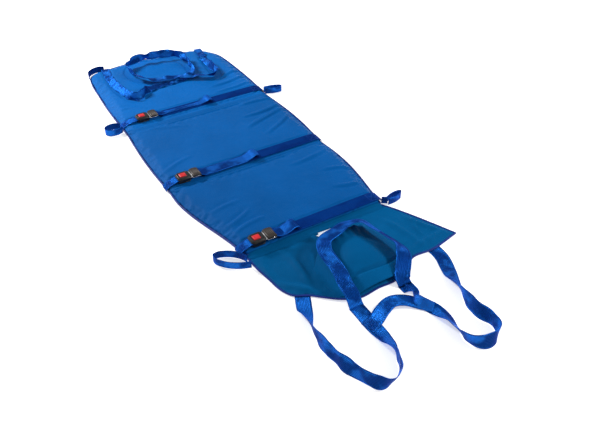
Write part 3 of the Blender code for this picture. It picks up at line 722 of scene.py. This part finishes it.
def surface_of(*pieces):
    """A search tree over the pieces' faces, to lay stitches on them."""
    points, faces = [], []
    for piece in pieces:
        first = len(points)
        points += [v.co.copy() for v in piece.data.vertices]
        faces += [[first + i for i in p.vertices] for p in piece.data.polygons]
    return BVHTree.FromPolygons(points, faces)


def sew_on(body, tree, plan, pitch=0.0046, length=0.0032, radius=0.00042, spacing=0.004):
    """A stitch row dropped from above onto a surface, along plan points."""
    places, normals = [], []
    for (x0, y0), (x1, y1) in zip(plan, plan[1:]):
        count = max(1, int(math.hypot(x1 - x0, y1 - y0) / spacing))
        for k in range(count):
            x, y = x0 + (x1 - x0) * k / count, y0 + (y1 - y0) * k / count
            hit, normal, _, _ = tree.ray_cast(Vector((x, y, 0.2)), Vector((0, 0, -1)))
            if hit is not None:
                places.append(hit)
                normals.append(normal if normal.z > 0 else -normal)
    if len(places) > 2:
        stitch_row(body, places, normals, pitch, length, radius)


def sew_box(body, tree, centre, along, length, width, crossed=True):
    """A sewn box, with its diagonals, at a plan point and in a plan direction."""
    ax, ay = along[0] / math.hypot(*along), along[1] / math.hypot(*along)

    def corner(u, v):
        return (centre[0] + ax * u * length / 2 - ay * v * width / 2,
                centre[1] + ay * u * length / 2 + ax * v * width / 2)

    ring = [corner(-1, -1), corner(1, -1), corner(1, 1), corner(-1, 1), corner(-1, -1)]
    sew_on(body, tree, ring, pitch=0.0034, length=0.0025)
    if crossed:
        sew_on(body, tree, [corner(-1, -1), corner(1, 1)], pitch=0.0034, length=0.0025)
        sew_on(body, tree, [corner(-1, 1), corner(1, -1)], pitch=0.0034, length=0.0025)


# ---------------------------------------------------------------- padded panels
def folds_height(plan, folds):
    """Wrinkles: each is a ridge with a hollow beside it, from one plan point to another."""
    height = np.zeros(len(plan))
    for x0, y0, x1, y1, high, wide, bend in folds:
        run = np.array((x1 - x0, y1 - y0))
        length = np.linalg.norm(run)
        share = ((plan - (x0, y0)) @ run) / length ** 2
        side = ((plan - (x0, y0)) @ np.array((-run[1], run[0]))) / length
        side = side - bend * np.sin(np.pi * np.clip(share, 0, 1))
        taper = np.sin(np.pi * np.clip(share, 0, 1)) ** 0.8
        ridge = np.exp(-(side / wide) ** 2) - 0.5 * np.exp(-((side - 1.7 * wide) / wide) ** 2)
        height += high * taper * ridge
    return height


def pressed_by(plan, routes, reach, soft):
    """From 0 under the webbing that lies on the cover to 1 well clear of it."""
    clear = np.ones(len(plan))
    for route in routes:
        corners = np.array(route)
        nearest = distance_to(plan, corners, corners[1:])
        clear = np.minimum(clear, ease((nearest - reach) / soft))
    return clear


FOLDS = {  # x0, y0, x1, y1, height, half width, bend
    "torso": [
        (0.325, 0.330, 0.130, 0.300, 0.0042, 0.0085, 0.010),
        (0.325, 0.290, 0.100, 0.215, 0.0038, 0.0090, -0.006),
        (0.322, 0.245, 0.150, 0.140, 0.0034, 0.0080, 0.006),
        (0.322, 0.380, 0.160, 0.392, 0.0030, 0.0080, -0.006),
        (-0.300, 0.090, -0.150, 0.150, 0.0020, 0.0090, 0.008),
        (-0.290, 0.410, -0.080, 0.350, 0.0020, 0.0100, 0.010),
    ],
    "head": [
        (0.318, 0.640, 0.120, 0.600, 0.0036, 0.0085, 0.010),
        (0.318, 0.700, 0.160, 0.640, 0.0030, 0.0080, -0.006),
        (0.316, 0.570, 0.120, 0.545, 0.0028, 0.0085, 0.008),
        (-0.300, 0.620, -0.170, 0.570, 0.0022, 0.0090, 0.008),
    ],
    "hips": [
        (-0.225, -0.330, -0.090, -0.300, 0.0032, 0.0080, 0.010),
        (-0.235, -0.290, -0.110, -0.235, 0.0028, 0.0080, -0.006),
        (-0.250, -0.200, -0.120, -0.180, 0.0020, 0.0090, 0.006),
        (0.300, -0.300, 0.180, -0.270, 0.0026, 0.0085, 0.008),
        (0.310, -0.210, 0.200, -0.170, 0.0024, 0.0080, -0.006),
        (0.300, -0.060, 0.120, -0.090, 0.0022, 0.0090, 0.008),
    ],
}
HANDLE_ROUTE = [
    (-0.209, 1.0125, 0, -0.005), (-0.211, 1.003, 0, -0.001), (-0.213, 0.988, 0, 0),
    (-0.215, 0.966, 0, 0), (-0.222, 0.912, 0, 0), (-0.225, 0.846, -20, 0),
    (-0.223, 0.783, -45, 0), (-0.214, 0.720, -60, 0), (-0.202, 0.672, -70, 0),
    (-0.178, 0.652, -80, 0), (-0.150, 0.668, -70, 0), (-0.120, 0.698, -45, 0),
    (-0.076, 0.716, -15, 0), (-0.016, 0.722, 0, 0), (0.044, 0.724, 0, 0),
    (0.092, 0.737, 25, 0), (0.119, 0.776, 60, 0.002), (0.128, 0.830, 80, 0.005),
    (0.128, 0.885, 86, 0.009), (0.104, 0.930, 88, 0.012), (0.052, 0.954, 88, 0.014),
    (-0.008, 0.964, 88, 0.014), (-0.066, 0.965, 88, 0.014), (-0.110, 0.948, 86, 0.012),
    (-0.131, 0.908, 82, 0.010), (-0.130, 0.862, 70, 0.010), (-0.116, 0.818, 45, 0.011),
    (-0.090, 0.782, 15, 0.012), (-0.050, 0.758, 0, 0.012), (0.010, 0.748, 0, 0.012),
    (0.074, 0.724, 0, 0.012), (0.124, 0.698, 10, 0.012), (0.164, 0.678, 35, 0.006),
    (0.192, 0.682, 62, 0), (0.204, 0.716, 66, 0), (0.207, 0.765, 45, 0),
    (0.212, 0.830, 15, 0), (0.221, 0.890, 0, 0), (0.232, 0.966, 0, 0),
    (0.233, 0.984, 0, -0.001), (0.234, 0.996, 0, -0.005)]
SIM_FRAMES = 20
SPINE_HALF, MIDDLE_HALF, FOOT_HALF = 0.0150, 0.0105, 0.0165  # half the cloth strips over the folds
SPINE_VALLEY = 0.0009  # how far the cloth over a fold dips between its two panels
SPINE_THICK, CLOTH_THICK = 0.0006, 0.0009
FOOT_SPINE_CUT = (0.016, 0.090, -0.4400)  # left, right and top edges, over the apron's cut-out
SWELL_CAP = 0.0050  # how far the simulated fabric may move
VOXEL = 0.006
SHOULDER = 0.0172  # the least height of a cover beside a fold
PRESSED, ROOM = 0.0200, 0.0062  # cover height under webbing, and how much more it has elsewhere
STRAP_REACH, HANDLE_REACH = 0.0255, 0.019  # half the width each presses flat
WRINKLE_GAIN = 1.5
TOP_STARTS = 0.0105  # the height at which a cover's side turns into its top


def inflate(pad):
    """A short cloth simulation: pressure swells the slightly oversized fabric round its rim."""
    start = points_of(pad)
    rim = pad.vertex_groups.new(name="rim")
    held = [i for i, z in enumerate(start[:, 2]) if z < 0.0095]
    rim.add(held, 1.0, "REPLACE")
    cloth = pad.modifiers.new("cloth", "CLOTH")
    cloth.settings.quality = 5
    cloth.settings.mass = 0.25
    cloth.settings.tension_stiffness = 12
    cloth.settings.compression_stiffness = 12
    cloth.settings.bending_stiffness = 0.6
    cloth.settings.shrink_min = -0.025
    cloth.settings.use_pressure = True
    cloth.settings.uniform_pressure_force = 4.0
    cloth.settings.vertex_group_mass = "rim"
    cloth.settings.effector_weights.gravity = 0.0
    cloth.point_cache.frame_start = 1
    cloth.point_cache.frame_end = SIM_FRAMES
    for step in range(1, SIM_FRAMES + 1):
        scene.frame_set(step)
    settle(pad)
    scene.frame_set(1)
    moved = points_of(pad) - start
    far = np.linalg.norm(moved, axis=1)
    moved *= np.minimum(1.0, SWELL_CAP / np.maximum(far, 1e-9))[:, None]
    set_points(pad, start + moved)


def padded_cover(name):
    """A stuffed panel: swollen by the cloth simulation, wrinkled, and pressed by its straps."""
    outline = OUTLINES[name]
    rings = []
    for side, seam, z in ((0.0034, 0.0034, 0.0046), (0.0034, 0.0034, 0.0092),
                          (0.0070, 0.0048, 0.0130), (0.0140, 0.0080, 0.0160),
                          (0.0260, 0.0130, 0.0176), (0.0450, 0.0220, 0.0180)):
        rings.append([(x, y, z) for x, y in inset(outline, side, seam)])
    count = len(outline)
    points = [p for ring in rings for p in ring]
    faces = [(r * count + i, r * count + (i + 1) % count, (r + 1) * count + (i + 1) % count,
              (r + 1) * count + i) for r in range(len(rings) - 1) for i in range(count)]
    faces += [tuple(reversed(range(count))), tuple(range(len(points) - count, len(points)))]
    pad = add_mesh(name + "_padded_cover", points, faces, COVER[name])
    remesh = pad.modifiers.new("remesh", "REMESH")
    remesh.mode = "VOXEL"
    remesh.voxel_size = VOXEL
    settle(pad)
    inflate(pad)
    divide = pad.modifiers.new("divide", "SUBSURF")
    divide.levels = divide.render_levels = 1
    settle(pad)

    found = points_of(pad)
    plan = found[:, :2]
    from_edge = edge_distance(plan, outline)
    on_top = ease((found[:, 2] - TOP_STARTS) / 0.005)
    rough = np.array([ripple(x, y, 22.0, 3.0) * 0.5 + ripple(x, y, 60.0, 7.0) * 0.3
                      for x, y in plan])
    puckers = np.array([ripple(x, y, 95.0, 11.0) for x, y in plan])
    lift = WRINKLE_GAIN * folds_height(plan, FOLDS[name]) + 0.0016 * rough
    lift += 0.0014 * puckers * np.exp(-((from_edge - 0.014) / 0.012) ** 2)
    found[:, 2] += lift * on_top

    y, _, left, right, _ = STRAPS[name]
    straps = [[(left - 0.02, y), (right + 0.02, y)]]
    room = ROOM * pressed_by(plan, straps, STRAP_REACH, 0.020)
    if name == "head":
        handle = [(x, along_y) for x, along_y, _, _ in HANDLE_ROUTE]
        handle = [(-0.212, 1.01)] + handle + [(0.236, 0.99)]
        under_handle = ROOM * pressed_by(plan, [handle], HANDLE_REACH, 0.018)
        room = np.minimum(room, 0.0004 + under_handle)
    found[:, 2] = np.minimum(found[:, 2], PRESSED + room)
    for seam, half in ((SEAM_HEAD, SPINE_HALF), (SEAM_MIDDLE, MIDDLE_HALF), (SEAM_FOOT, SPINE_HALF)):
        near = np.abs(plan[:, 1] - seam)
        under = 0.0160 + 0.0028 * ease((near - half + 0.005) / 0.006)
        under += 0.008 * ease((near - half - 0.003) / 0.020)
        found[:, 2] = np.where(near < 0.036, np.minimum(found[:, 2], under), found[:, 2])
        shoulder = SHOULDER * ease((near - 0.0030) / 0.0045)
        rim = (near < 0.020) & (found[:, 2] > TOP_STARTS) & (from_edge - near > -0.001)
        found[:, 2] = np.where(rim, np.maximum(found[:, 2], shoulder), found[:, 2])
    side = from_edge < 0.0040
    found[side, 2] = np.minimum(found[side, 2], 0.0125)
    set_points(pad, found)
    turn_outwards(pad.data)
    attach(pad, name)
    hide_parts(name + "_cover", name + "_foam_pad")
    return pad


def rounded_profile(out, up, count=12):
    """A rounded-rectangle section, half widths out and up, as a closed run of points."""
    made = []
    for k in range(count):
        turn = 2 * math.pi * k / count
        c, s = math.cos(turn), math.sin(turn)
        made.append((out * math.copysign(abs(c) ** 0.6, c), up * math.copysign(abs(s) ** 0.6, s)))
    return made


def panel_piping(name):
    """The edge tape: a rounded band round the panel, slightly puckered by its stitching."""
    path = outline_path(inset(OUTLINES[name], 0.0019, 0.0013))
    heights = [0.0053 + 0.00035 * ripple(x, y, 120.0, 5.0) for x, y in path]
    tape = hoop(name + "_piping", path, heights, rounded_profile(0.0019, 0.0053), TAPE, name)
    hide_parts(name + "_edge_binding")
    return tape


def fold_spine(name, y, ends, heights, half, material, gap=None):
    """A strip of cloth over the fold between two panels. A gap is a
    left edge, a right edge and a top edge, below which the strip is cut away."""
    rows, columns = 22, 120
    points = []
    for r in range(rows + 1):
        v = r / rows
        for c in range(columns + 1):
            u = c / columns
            x = ends[0] + (ends[1] - ends[0]) * u
            valley = SPINE_VALLEY * math.sin(math.pi * v) ** 2
            valley += 0.0022 * ease((0.28 - v) / 0.28) + 0.0036 * ease((v - 0.62) / 0.38)
            edge = min(u, 1 - u) * (ends[1] - ends[0])
            drop = 0.0060 * math.exp(-edge / 0.010)
            z = heights[0] + (heights[1] - heights[0]) * v - valley - drop
            z += 0.0004 * ripple(x, 2.0 * v, 45.0, 2.0) * math.sin(math.pi * v)
            points.append((x, y + half * (1 - 2 * v), max(z, 0.0008)))
    faces = grid_faces(rows, columns)
    if gap:
        left, right, top = gap
        faces = [face for face in faces
                 if not (left < points[face[0]][0] < right and points[face[0]][1] < top)]
    strip = add_mesh(name, points, faces, material)
    thicken(strip, SPINE_THICK)
    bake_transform(strip)
    return strip


def away_from_seams(path):
    """The runs of an outline that stay clear of the folds between the panels."""
    rows = [[]]
    for point in path:
        if min(abs(point[1] - seam) for seam in (SEAM_HEAD, SEAM_MIDDLE, SEAM_FOOT)) > 0.012:
            rows[-1].append(point)
        elif rows[-1]:
            rows.append([])
    return [row for row in rows if len(row) > 3]


pads = {}
for panel in ("torso", "hips", "head"):
    pads[panel] = padded_cover(panel)
    panel_piping(panel)
    surface = surface_of(pads[panel])
    path = outline_path(inset(OUTLINES[panel], 0.0078, 0.0062), step=0.008)
    for row in away_from_seams(path):
        sew_on(panel, surface, row, pitch=0.0060, length=0.0038, radius=0.00035)
    frame["nodes"][panel + "_base_sheet"].material_slots[0].material = BASE
    frame["nodes"][panel + "_stiffener_board"].material_slots[0].material = BOARD
fold_spine("spine_head", SEAM_HEAD, (LEFT_EDGE + 0.004, RIGHT_EDGE - 0.004),
           (0.0183, 0.0183), SPINE_HALF, COVER["torso"])
fold_spine("spine_middle", SEAM_MIDDLE, (LEFT_EDGE + 0.004, RIGHT_EDGE - 0.004),
           (0.0183, 0.0187), MIDDLE_HALF, COVER["hips"])
fold_spine("spine_foot", SEAM_FOOT - 0.008, (FOOT_LEFT + 0.003, FOOT_RIGHT - 0.003),
           (0.0150, 0.0072), FOOT_HALF, APRON_CLOTH, gap=FOOT_SPINE_CUT)

# ---------------------------------------------------------------- patient straps
ANCHOR_WIDTH = 0.038
HEAD_TAIL_GATHER = 0.55  # how much narrower the head strap's tail is drawn
for panel, (y, casing_x, left, right, curl) in STRAPS.items():
    rear, end = casing_x - CASING_LENGTH / 2, casing_x + CASING_LENGTH / 2 + TONGUE_FRAME
    lying = STRAP_GROUND + WEB_THICK / 2
    edge_top = BINDING_HEIGHT + GAP + WEB_THICK / 2
    high = STRAP_GROUND + 0.0090
    anchor = ribbon(panel + "_anchor_webbing", [
        (left - 0.0016, y, 0.0030, 0), (left - 0.0014, y, 0.0085, 0),
        (left + 0.0010, y, edge_top + 0.0006, 0), (left + 0.0070, y, 0.0158, 0),
        (left + 0.0160, y, 0.0207, 0), (left + 0.0300, y, STRAP_GROUND + 0.0040, 0),
        (rear - 0.0020, y, high, 0), (rear + 0.0060, y, high, 0)],
        LOOP_WEBBING, panel, width=ANCHOR_WIDTH, step=0.002, flutter=0.0016)
    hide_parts(panel + "_strap_anchor")

    band = ribbon(panel + "_band_webbing", [
        (end + 0.0100, y, lying, 0), (end + 0.120, y, lying, 0), (right - 0.0310, y, lying, 0),
        (right - 0.0160, y, 0.0192, 0), (right - 0.0065, y, 0.0150, 0),
        (right - 0.0006, y, edge_top + 0.0008, 0), (right + 0.0018, y, 0.0075, 0),
        (right + 0.0018, y, 0.0020, 0)], FLAT_WEBBING, panel, step=0.003)
    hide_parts(panel + "_strap_band")

    over = lying + WEB_THICK + GAP * 2
    tail = ribbon(panel + "_tail_webbing", [
        (end + 0.0010, y, STRAP_GROUND + TONGUE_LEVEL + 0.0040, 0),
        (end + 0.0060, y, STRAP_GROUND + TONGUE_LEVEL + 0.0010, 0),
        (end + 0.0180, y, over + 0.0020, 0), (end + 0.0400, y, over, 0), (curl - 0.0450, y, over, 0),
        (curl - 0.0220, y, over + 0.0080, 0),
        (curl - 0.0060, y, over + 0.0150, 0), (curl + 0.0060, y, over + 0.0110, 0),
        (curl + 0.0100, y, over + 0.0030, 0)], WEBBING, panel + "_tongue", step=0.003,
        flutter=0.0022, gather=HEAD_TAIL_GATHER if panel == "head" else 0.0, seed=casing_x * 40)
    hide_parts(panel + "_strap_tail")

    softened(panel + "_buckle_base", 0.0007, CASING, 2)
    softened(panel + "_buckle_shell", 0.0012, CASING, 4)
    softened(panel + "_press_button", 0.0014, BUTTON, 4)
    softened(panel + "_tongue", 0.0006, STEEL, 3)
    softened(panel + "_adjuster", 0.0005, BRONZE, 2)
    frame["nodes"][panel + "_latch_plate"].material_slots[0].material = SPRING
    frame["nodes"][panel + "_button_spring"].material_slots[0].material = SPRING

    surface = surface_of(anchor)
    sew_box(panel, surface, (left + 0.021, y), (1, 0), 0.016, 0.030)
    surface = surface_of(band)
    sew_box(panel, surface, (right - 0.030, y), (1, 0), 0.030, 0.038)
    surface = surface_of(tail)
    sew_on(panel + "_tongue", surface, [(curl - 0.040, y - 0.020), (curl - 0.040, y + 0.020)],
           pitch=0.0034, length=0.0025)

# ---------------------------------------------------------------- side loops and corner loop
SIDE_LOOPS = {  # root, tip, spread
    "head_left_loop": ((-0.3110, 0.484), (-0.374, 0.488), 0.052),
    "head_right_loop": ((0.3205, 0.468), (0.394, 0.448), 0.024),
    "foot_left_loop": ((-0.2320, -0.456), (-0.318, -0.384), 0.052),
    "foot_right_loop": ((0.3040, -0.430), (0.368, -0.420), 0.022),
}
for name, (root, tip, spread) in SIDE_LOOPS.items():
    start, end = Vector((*root, 0)), Vector((*tip, 0))
    out = (end - start).normalized()
    edge, beside = Vector((0, 1, 0)), Vector((-out.y, out.x, 0))
    if beside.y < 0:
        beside.negate()
    stations = []
    for share, offset in ((0.0, -0.55), (0.30, -0.90), (0.70, -0.85), (0.93, -0.45), (1.0, 0.0),
                          (0.93, 0.45), (0.70, 0.85), (0.30, 0.90), (0.0, 0.55)):
        sideways = edge.lerp(beside, min(share * 2, 1.0)).normalized()
        where = start.lerp(end, share) + sideways * offset * spread / 2
        stations.append((where.x, where.y, LOOP_MIDDLE, 90))
    loop = ribbon(name + "_webbing", stations, LOOP_WEBBING, name, width=LOOP_WIDTH, step=0.003,
                  flutter=0.0012)
    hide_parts(name)

tab = ribbon("loop_tab_webbing", [(0.2890, -0.4165, 0.0146, 90), (0.3000, -0.4235, 0.0146, 90),
                                  (0.3062, -0.4280, 0.0146, 90)],
             LOOP_WEBBING, "hips", width=LOOP_WIDTH, step=0.003)

stations = []
for angle, clear in ((152, 0.0025), (142, 0.0120), (128, 0.0180), (112, 0.0195), (98, 0.0165),
                     (86, 0.0045)):
    turn = math.radians(angle)
    stations.append((-0.217 + (0.082 + clear) * math.cos(turn),
                     0.932 + (0.082 + clear) * math.sin(turn), LOOP_MIDDLE, 90))
corner = ribbon("corner_loop_webbing", stations, FLAT_WEBBING, "head", width=LOOP_WIDTH, step=0.003)
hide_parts("head_corner_loop")


# ---------------------------------------------------------------- drag handle
def on_ground(route, ground, width):
    """Stations from (x, y, tilt, lift): the webbing's lower edge is this much above the ground."""
    return [(x, y, ground + lift + WEB_THICK / 2
             + abs(math.sin(math.radians(tilt))) * width / 2, tilt) for x, y, tilt, lift in route]


handle = ribbon("drag_handle_webbing", on_ground(HANDLE_ROUTE, PAD_TOP + 0.0008, HANDLE_WIDTH),
                HANDLE_WEBBING, width=HANDLE_WIDTH, flutter=0.0050, wobble=95.0, loose=0.7, still=0.060,
                seed=4.0)
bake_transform(handle)
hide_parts("head_drag_handle")

# ---------------------------------------------------------------- apron and foot pocket
def apron_lift(plan):
    """How far the apron's cloth stands above where it lies flat."""
    from_edge = edge_distance(plan, APRON_OUTLINE)
    folds = [
        (-0.215, -0.560, -0.110, -0.680, 0.0075, 0.0120, 0.006),
        (-0.120, -0.450, -0.130, -0.640, 0.0060, 0.0130, 0.012),
        (-0.190, -0.450, -0.200, -0.590, 0.0050, 0.0120, -0.010),
        (0.230, -0.470, 0.270, -0.670, 0.0070, 0.0120, 0.010),
        (0.300, -0.500, 0.380, -0.650, 0.0070, 0.0100, -0.006),
        (0.220, -0.660, 0.390, -0.640, 0.0060, 0.0100, 0.006),
        (0.325, -0.540, 0.300, -0.620, 0.0060, 0.0070, -0.008),
        (-0.215, -0.450, -0.060, -0.470, 0.0050, 0.0100, 0.008),
    ]
    rough = np.array([ripple(x, y, 18.0, 5.0) * 0.6 + ripple(x, y, 48.0, 9.0) * 0.4
                      for x, y in plan])
    lift = folds_height(plan, folds) + 0.0034 * (rough + 0.4)
    lift = np.maximum(lift, -0.0002) * ease(from_edge / 0.022)
    seam = ease((SEAM_FOOT - 0.004 - plan[:, 1]) / 0.03)
    return lift * seam


def apron_sheet():
    """The apron: one sheet with its cut-out, folds and soft wrinkles."""
    outline = [tuple(p) for p in outline_path(inset(APRON_OUTLINE, BINDING_THICK + GAP), 0.007)]
    plan, triangles = filled(outline, 0.007, [APRON_GAP])
    heights = APRON_LOW + APRON_THICK / 2 + apron_lift(plan)
    near_gap = edge_distance(plan, APRON_GAP)
    heights = heights + 0.0022 * np.exp(-(near_gap / 0.012) ** 2)
    points = [(x, y, z) for (x, y), z in zip(plan, heights)]
    sheet = add_mesh("apron_cloth_sheet", points, triangles, APRON_CLOTH)
    if sheet.data.polygons[0].normal.z < 0:
        sheet.data.flip_normals()
    thicken(sheet, CLOTH_THICK)
    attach(sheet, "foot")
    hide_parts("foot_apron")
    return sheet


def pocket_toe(x):
    return POCKET_TOE + 8.5 * min(x + 0.020, 0.0) ** 2 + 3.6 * max(x - 0.085, 0.0) ** 2


def pocket_sheet():
    """The foot pocket: a gathered pouch with pleats at its mouth and a crease above its toe."""
    foot = APRON_LOW + APRON_THICK + GAP + 0.0002
    columns, rows = 72, 60
    wide = 0.5 * (POCKET_RIGHT - POCKET_LEFT) - 0.0008
    points = []
    for k in range(rows + 1):
        v = k / rows
        shut = ease(v / 0.93 - 0.62) if v > 0.58 else 0.0
        high = (POCKET_HEIGHT - 0.0010) * (1 - 0.30 * ease((v - 0.45) / 0.35)) * (1 - shut)
        for c in range(columns + 1):
            u = c / columns
            x = POCKET_LEFT + 0.0008 + 2 * wide * u
            across = 2 * u - 1
            top = math.cos(math.pi / 2 * across) ** (2.0 if across < 0 else 0.75)
            mouth = POCKET_MOUTH - 0.085 * max(1 - u / 0.42, 0.0) ** 2
            y = mouth + (pocket_toe(x) - mouth) * v
            pleats = 0.0030 * math.sin(x * 230 + 4 * v) * math.exp(-(v / 0.14) ** 2)
            sag = 0.0030 * ripple(x, y, 17.0, 6.0) * math.sin(math.pi * v)
            crease = 0.0060 * math.exp(-((v - 0.77 - 0.05 * across) / 0.024) ** 2)
            fold = 0.0050 * math.exp(-((x - 0.118 - 0.35 * (v - 0.2) ** 2) / 0.007) ** 2)
            fold *= math.exp(-((v - 0.22) / 0.16) ** 2)
            z = foot + high * top + (pleats + sag - crease - fold - 0.0016) * min(top, 1.0)
            points.append((x, y, max(z, foot)))
    pouch = add_mesh("pocket_cloth_sheet", points, grid_faces(rows, columns), APRON_CLOTH)
    thicken(pouch, CLOTH_THICK)
    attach(pouch, "foot")
    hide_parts("foot_pocket")


apron = apron_sheet()
pocket_sheet()
path = outline_path(inset(APRON_OUTLINE, 0.0030), 0.006)
heights = [0.0036 + 0.0004 * ripple(x, y, 60.0, 8.0) for x, y in path]
hem = hoop("apron_piping", path, heights, rounded_profile(0.0032, 0.0016), TAPE, "foot")
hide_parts("foot_apron_binding")
surface = surface_of(apron)
path = outline_path(inset(APRON_OUTLINE, 0.0095), step=0.008)
sew_on("foot", surface, path + path[:1], pitch=0.0055, length=0.0036, radius=0.00035)

# ---------------------------------------------------------------- harness
HARNESS_WIDTH = 0.046


def to_hinge(x, side, tilt=0):
    return [(x, HARNESS_HINGE_Y + side * step, FLOOR_WEB, tilt) for step in (0.016, 0.008, 0.0008)]


def turned(stations, angle):
    return [(x, y, z, tilt + angle) for x, y, z, tilt in stations]


left_root = [(-0.118, -0.520, FLOOR_WEB, 0), (-0.138, -0.590, FLOOR_WEB, 0),
             (-0.163, -0.650, FLOOR_WEB, 0), (-0.186, -0.700, 0.0050, 10)]
right_root = [(0.256, -0.520, FLOOR_WEB, 0), (0.272, -0.600, FLOOR_WEB, 0),
              (0.290, -0.670, FLOOR_WEB, 0), (0.288, -0.725, FLOOR_WEB, 0)]
climb = [(-0.768, FLOOR_WEB), (-0.759, 0.0060), (-0.752, 0.0150)]
arch = [(ARCH_LEFT_X, y, z, 0) for y, z in climb] + [
    (ARCH_LEFT_X, -0.738, 0.0300, 0), (-0.051, -0.700, 0.0380, 0), (-0.042, -0.655, 0.0470, 0),
    (-0.038, -0.605, 0.0500, 0), (-0.032, -0.562, 0.0500, 0), (-0.008, -0.524, 0.0520, 4),
    (0.038, -0.511, 0.0540, 8), (0.094, -0.498, 0.0560, 20), (0.130, -0.512, 0.0595, 28),
    (0.146, -0.565, 0.0595, 38), (0.163, -0.620, 0.0560, 38), (0.173, -0.660, 0.0500, 28),
    (0.163, -0.693, 0.0425, 10), (0.140, -0.722, 0.0335, 0), (0.122, -0.742, 0.0228, 0)]
arch += [(ARCH_RIGHT_X, y, z, 0) for y, z in reversed(climb)]
left_loop = on_ground([
    (-0.205, -0.750, 58, 0), (-0.212, -0.785, 84, 0), (-0.215, -0.830, 98, 0),
    (-0.210, -0.888, 104, 0), (-0.196, -0.946, 105, 0), (-0.179, -0.987, 102, 0),
    (-0.163, -1.014, 92, 0), (-0.144, -1.027, 84, 0), (-0.118, -1.024, 78, 0),
    (-0.092, -1.008, 76, 0), (-0.074, -0.975, 96, 0), (-0.062, -0.930, 140, 0),
    (-0.055, -0.883, 172, 0), (-0.055, -0.830, 180, 0)], GAP, WEB_WIDTH)
right_loop = on_ground([
    (0.108, -0.806, 52, 0), (0.110, -0.832, 8, 0), (0.118, -0.853, 0, 0), (0.129, -0.882, 0, 0),
    (0.131, -0.915, 14, 0), (0.125, -0.962, 44, 0), (0.118, -1.004, 70, 0),
    (0.127, -1.032, 92, 0), (0.152, -1.053, 104, 0), (0.186, -1.055, 104, 0),
    (0.214, -1.038, 88, 0), (0.224, -1.004, 74, 0), (0.214, -0.958, 72, 0),
    (0.218, -0.910, 84, 0), (0.230, -0.866, 122, 0), (0.247, -0.822, 160, 0)],
    GAP, WEB_WIDTH)


def crossing(x, tilt=0):
    """Stations down the harness hinge line, from the apron to the loops."""
    return to_hinge(x, 1, tilt) + list(reversed(to_hinge(x, -1, tilt)))


def harness_piece(name, stations, nodes, seed):
    piece = ribbon(name, stations, WEBBING, width=HARNESS_WIDTH, flutter=0.0040, wobble=26.0,
                   still=0.20, seed=seed)
    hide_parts(*nodes)
    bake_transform(piece)


route = left_root + left_loop
route += turned(list(reversed(crossing(ARCH_LEFT_X))), 180)
route += turned(arch, 180) + turned(crossing(ARCH_RIGHT_X), 180) + turned(right_loop, 180)
route += turned(on_ground([(0.267, -0.780, 176, 0)], GAP, WEB_WIDTH), 180)
route += turned(list(reversed(right_root)), 360)
harness_piece("harness_webbing", route,
              ["harness_left_root", "harness_left_loop", "harness_arch",
               "harness_right_loop", "harness_right_root"], 9.0)
stitched = FLOOR_WEB + WEB_THICK + GAP
cross = ribbon("cross_strap_webbing", [
    (-0.074, -0.842, stitched, 0), (-0.040, -0.832, stitched, 0), (-0.002, -0.814, 0.0090, 0),
    (0.036, -0.804, 0.0120, 0), (0.072, -0.816, 0.0090, 0), (0.106, -0.846, stitched, 0),
    (0.130, -0.876, stitched, 0)], WEBBING, "foot_harness", width=ARCH_WIDTH, step=0.003)
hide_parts("harness_cross_strap")
surface = surface_of(cross)
sew_box("foot_harness", surface, (-0.057, -0.838), (0.96, 0.28), 0.026, 0.034)
sew_box("foot_harness", surface, (0.118, -0.861), (0.62, -0.78), 0.026, 0.034)

for body, (points, faces) in sewn.items():
    thread = add_mesh("stitching_" + body, points, faces, THREAD)
    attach(thread, body)

# ---------------------------------------------------------------- studio floor
floor_half = 6.0
ground = bpy.data.meshes.new("studio_floor")
ground.from_pydata([(-floor_half, -floor_half, -0.0004), (floor_half, -floor_half, -0.0004),
                    (floor_half, floor_half, -0.0004), (-floor_half, floor_half, -0.0004)], [],
                   [(0, 1, 2, 3)])
floor = bpy.data.objects.new("studio_floor", ground)
scene.collection.objects.link(floor)
paper = Finish("studio_paper", Specular_IOR_Level=0.0)
paper.colour(paper.ramp(paper.noise(3.0, 2.0), (0.0, (0.96, 0.96, 0.96)), (1.0, (1.0, 1.0, 1.0))))
paper.shader.inputs["Roughness"].default_value = 0.9
paper.shader.inputs["Emission Color"].default_value = (1.0, 1.0, 1.0, 1.0)
paper.shader.inputs["Emission Strength"].default_value = 0.50
ground.materials.append(paper.material)
